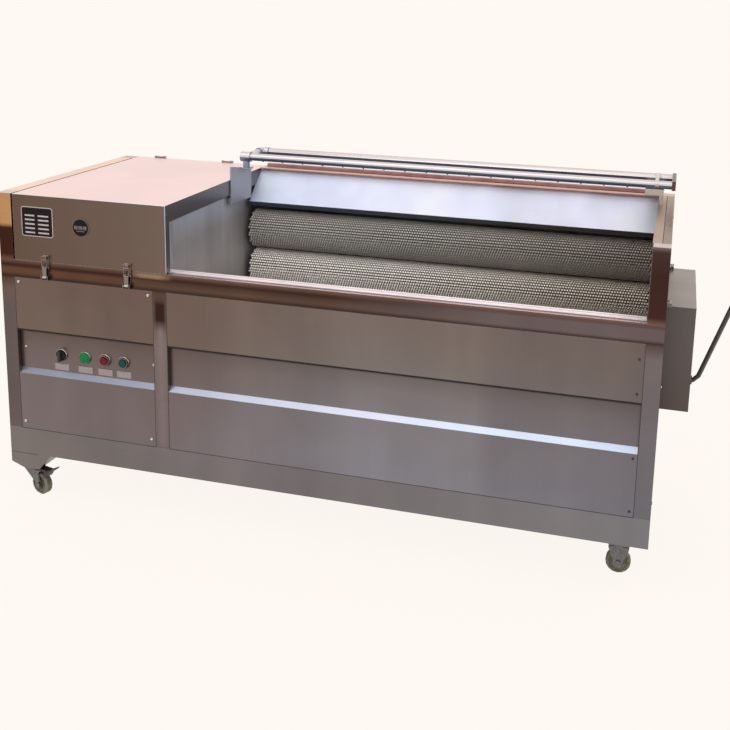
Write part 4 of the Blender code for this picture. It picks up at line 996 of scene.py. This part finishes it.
# Thin dark beads round the front panels and under the base's left end, painted shade in the seams and under the
# base, and a dark strip of painted shadow under each lip
beads = {"wide": 0.0015, "proud": 0.0003, "deep": 0.0008, "low": 0.0763, "high": 0.5087,
         "panels": ((0.0403, 0.4497), (0.4903, 1.6997)), "lipLow": 0.3596, "lipHigh": 0.3644,
         "lipFront": 0.0006, "lipBack": 0.0126, "baseEnd": (0.002, -0.0014, 0.084, 0.0)}

# Rods of painted highlight along the lid's edges and the ledge, with a rose line between the ledge's two:
# start, end, radius and finish
highlightRods = {
    "lidHighlightRods": ("lid", [
        ((0.046, 0.0, 0.7375), (0.4915, 0.0, 0.7375), 0.001, "hemSteel"),
        ((0.4915, 0.0, 0.562), (0.4915, 0.0, 0.7375), 0.001, "hemSteel")]),
    "ledgeHighlightRods": ("machine", [
        ((0.494, 0.015, 0.5606), (1.695, 0.015, 0.5606), 0.001, "hemSteel"),
        ((0.494, 0.033, 0.56), (1.695, 0.033, 0.56), 0.0008, "seamRose"),
        ((0.494, 0.0438, 0.5598), (1.695, 0.0438, 0.5598), 0.001, "hemSteel")]),
}

# Strips of sheet: two corners, finish and bevel. The rail caps are the back rail's red-brown upstand behind the
# pipes, the baffle's folded flange and a dark strip of painted shade along the seam on the right rail.
strips = {
    "bulkheadCorners": ("pale_steel", [
        # The first corner strip is bright, in the highlight finish.
        ((0.48, 0.046, 0.5605), (0.4812, 0.06, 0.688), "hemSteel", 0.0003),
        ((0.48, 0.63, 0.4), (0.4812, 0.64, 0.636), "bulkheadSteel", 0.0003)]),
    "railCaps": ("sheet_steel", [
        # A red-brown upstand behind the pipes.
        ((0.5, 0.658, 0.7375), (1.7, 0.672, 0.7478), "capRedBrown", 0.0012),
        ((0.493, 0.6158, 0.7376), (1.697, 0.6334, 0.7408), "peachCover", 0.0006),
        ((1.719, 0.042, 0.7372), (1.7206, 0.632, 0.7385), "darkSealantAndSeamShade", 0.0003)]),
    "backCoverStrips": ("sheet_steel", [
        ((x, 0.6428, 0.078), (x + 0.022, 0.644, 0.696), "wallSheetSteel", 0.0004) for x in (0.598, 1.152)]),
}


def sealant(left, low, right, high):
    return roundedBox((left, -beads["proud"], low), (right, beads["deep"], high), "darkSealantAndSeamShade", **thin)


def makeBeads():
    wide, low, high = beads["wide"], beads["low"], beads["high"]
    pieces = []
    for left, right in beads["panels"]:
        for sides in ((left - wide, low, left, high), (right, low, right + wide, high),
                      (left - wide, high, right + wide, high + wide),
                      (left - wide, low - wide, right + wide, low)):
            pieces.append(sealant(*sides))
        # A dark strip of painted shadow under the lip.
        pieces.append(roundedBox((left, beads["lipFront"], beads["lipLow"]),
                                 (right, beads["lipBack"], beads["lipHigh"]), "paintedShadowDark", 0.0003, 1))
    pieces.append(sealant(*beads["baseEnd"]))
    place(pieces, "panelBeads", "machine")


makeBeads()
for name, (body, rods) in highlightRods.items():
    place([roundedRod(*rod, 8, 0.0002) for rod in rods], name, body)
for name, (slot, boxes) in strips.items():
    place([roundedBox(*box) for box in boxes], name, "machine")
print("seams made")


# Casters: a hex nut on each end of an axle, and a round hub on each side of a wheel
axles = {"front_left": (0.0771, 0.0253, -15), "back_left": (0.0719, 0.6253, -40),
         "front_right": (1.67, 0.104, 0), "back_right": (1.67, 0.57, 0)}
caster = {"height": -0.097,
          "casterNuts_": {"start": 0.0147, "end": 0.0178, "radius": 0.0066, "sides": 6, "bevel": 0.0005},
          "casterHubs_": {"start": 0.007, "end": 0.0118, "radius": 0.0092, "sides": 24, "bevel": 0.0006}}


# The same turned part on both sides of an axle.
def makePair(kind, corner, body):
    x, y, angle = axles[corner]
    side = Vector((-math.sin(math.radians(angle)), math.cos(math.radians(angle)), 0))
    middle, values = Vector((x, y, caster["height"])), caster[kind]
    pair = [roundedRod(middle + side * way * values["start"], middle + side * way * values["end"],
                       values["radius"], "casterZinc", values["sides"], values["bevel"]) for way in (-1, 1)]
    if values["sides"] == 6:
        for nut in pair:
            nut.data.shade_flat()
    place(pair, kind + corner, body)


for corner in casterCorners:
    makePair("casterNuts_", corner, "machine" if corner.endswith("right") else "caster_fork_" + corner)
    makePair("casterHubs_", corner, "caster_wheel_" + corner)
print("caster parts made")


# Gear motor: cooling fins, and the slots of its fan grille, thin dark plates of painted shade for the openings.
# Each ring's box has its left and right end, its width, the height that it is modelled at, its two radii, its
# count and its finish.
motor = {"y": 0.3425, "z": 0.59, "rings": [
    (0.14, 0.292, 0.0016, 0.001, 0.055, 0.0592, 36, "motorEnamel"),
    (0.0896, 0.0906, 0.004, 0.026, 0.022, 0.048, 18, "paintedShadowDark")]}


# A box round the x axis, stretched between two radii and repeated all the way round.
def makeRing(left, right, wide, modelled, low, high, count, finish):
    box = roundedBox((left, -wide / 2, 0), (right, wide / 2, modelled), finish, 0.0003, 1)
    box.data.transform(Matrix.Translation((0, -machineCorner.y, -machineCorner.z)))
    box.data.transform(Matrix.Translation((0, 0, low)) @ Matrix.Diagonal((1, 1, (high - low) / modelled, 1)))
    repeatAround(box, count, math.tau / count)
    middle = inFrame(0, motor["y"], motor["z"])
    box.data.transform(Matrix.Translation((0, middle.y, middle.z)))
    return box


# Spray pipes: a row of small holes under each pipe, dark inside with painted shade
pipes = {"radius": 0.011, "height": 0.7955, "rows": {"front": 0.481, "rear": 0.598}, "start": 0.56,
         "gap": 0.062, "count": 18, "holeRadius": 0.0018, "holeRim": 0.35, "holeDrop": 0.0001,
         "holeTop": 0.002, "holeDepth": 0.0015, "holeSides": 12}


def makeSprayHoles():
    low = pipes["height"] - pipes["radius"]
    for name, y in pipes["rows"].items():
        top, bottom = low + pipes["holeTop"], low - pipes["holeDrop"]
        hole = roundedRod((pipes["start"], y, top), (pipes["start"], y, bottom), pipes["holeRadius"], "paintedShadowDark",
                          pipes["holeSides"], 0.0002)
        hole.data.shade_flat()

        def drill():
            inset(pipes["holeRadius"] * pipes["holeRim"])
            push(-pipes["holeDepth"])

        editParts(hole, lambda face: face.normal.z < -0.9, drill)
        repeatAlong(hole, pipes["count"], pipes["gap"])
        place([hole], "sprayHoles_" + name, "machine")


place([makeRing(*ring) for ring in motor["rings"]], "motorFins", "machine")
makeSprayHoles()
print("motor and pipe parts made")


# Roller chain: side plates and bushings laid along the chain's path round the sprockets
chain = {"reach": 0.04, "x": 0.444, "pitch": 0.0127, "plateHeight": 0.0072, "plateThick": 0.0011,
         "half": 0.0038, "innerHalf": 0.0025, "overlap": 0.0005, "plateBevel": 0.0005, "bushRadius": 0.0028,
         "bushOut": 0.0003, "bushSides": 10, "bushBevel": 0.0003, "arcSteps": 8}


def chainPath():
    centres = [Vector(spot) for spot in rollerPlaces()] + [Vector((motor["y"], motor["z"]))]
    points = []
    for i, centre in enumerate(centres):
        before, after = centre - centres[i - 1], centres[(i + 1) % len(centres)] - centre
        start = math.atan2(before.x, -before.y)
        turn = (math.atan2(after.x, -after.y) - start) % -math.tau
        for k in range(chain["arcSteps"] + 1):
            angle = start + turn * k / chain["arcSteps"]
            points.append(centre + Vector((math.cos(angle), math.sin(angle))) * chain["reach"])
    return points


# The pins at even steps along the path, an even number of them, and the step.
def pinPlaces():
    points = chainPath()
    lengths = [(points[(i + 1) % len(points)] - spot).length for i, spot in enumerate(points)]
    count = 2 * round(sum(lengths) / chain["pitch"] / 2)
    pitch = sum(lengths) / count
    pins, walked, i = [], 0.0, 0
    for k in range(count):
        while walked + lengths[i] < k * pitch:
            walked += lengths[i]
            i += 1
        share = (k * pitch - walked) / lengths[i] if lengths[i] else 0
        pins.append(points[i].lerp(points[(i + 1) % len(points)], share))
    return pins, pitch


def makeLink(wide, pitch):
    half, thick, tall = chain["half"] + chain["bushOut"], chain["plateThick"] / 2, chain["plateHeight"] / 2
    pieces = [roundedBox((way * wide - thick, -chain["overlap"], -tall),
                         (way * wide + thick, pitch + chain["overlap"], tall), "oiledSteel",
                         chain["plateBevel"], 1) for way in (-1, 1)]
    pieces.append(roundedRod((-half, 0, 0), (half, 0, 0), chain["bushRadius"], "oiledSteel",
                             chain["bushSides"], chain["bushBevel"]))
    link = joinPieces(pieces)
    link.data.transform(Matrix.Translation(-machineCorner))
    return link


def makeChain():
    pins, pitch = pinPlaces()
    patterns = [makeLink(chain["half"], pitch), makeLink(chain["innerHalf"], pitch)]
    links = []
    for k, pin in enumerate(pins):
        ahead = pins[(k + 1) % len(pins)] - pin
        turn = Matrix.Rotation(math.atan2(ahead.y, ahead.x), 4, "X")
        link = copyOf(patterns[k % 2])
        link.data.transform(Matrix.Translation(inFrame(chain["x"], pin.x, pin.y)) @ turn)
        links.append(link)
    for pattern in patterns:
        bpy.data.objects.remove(pattern)
    loop = place(links, "rollerChain", "machine")
    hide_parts("drive_chain")


makeChain()
print("chain laid")
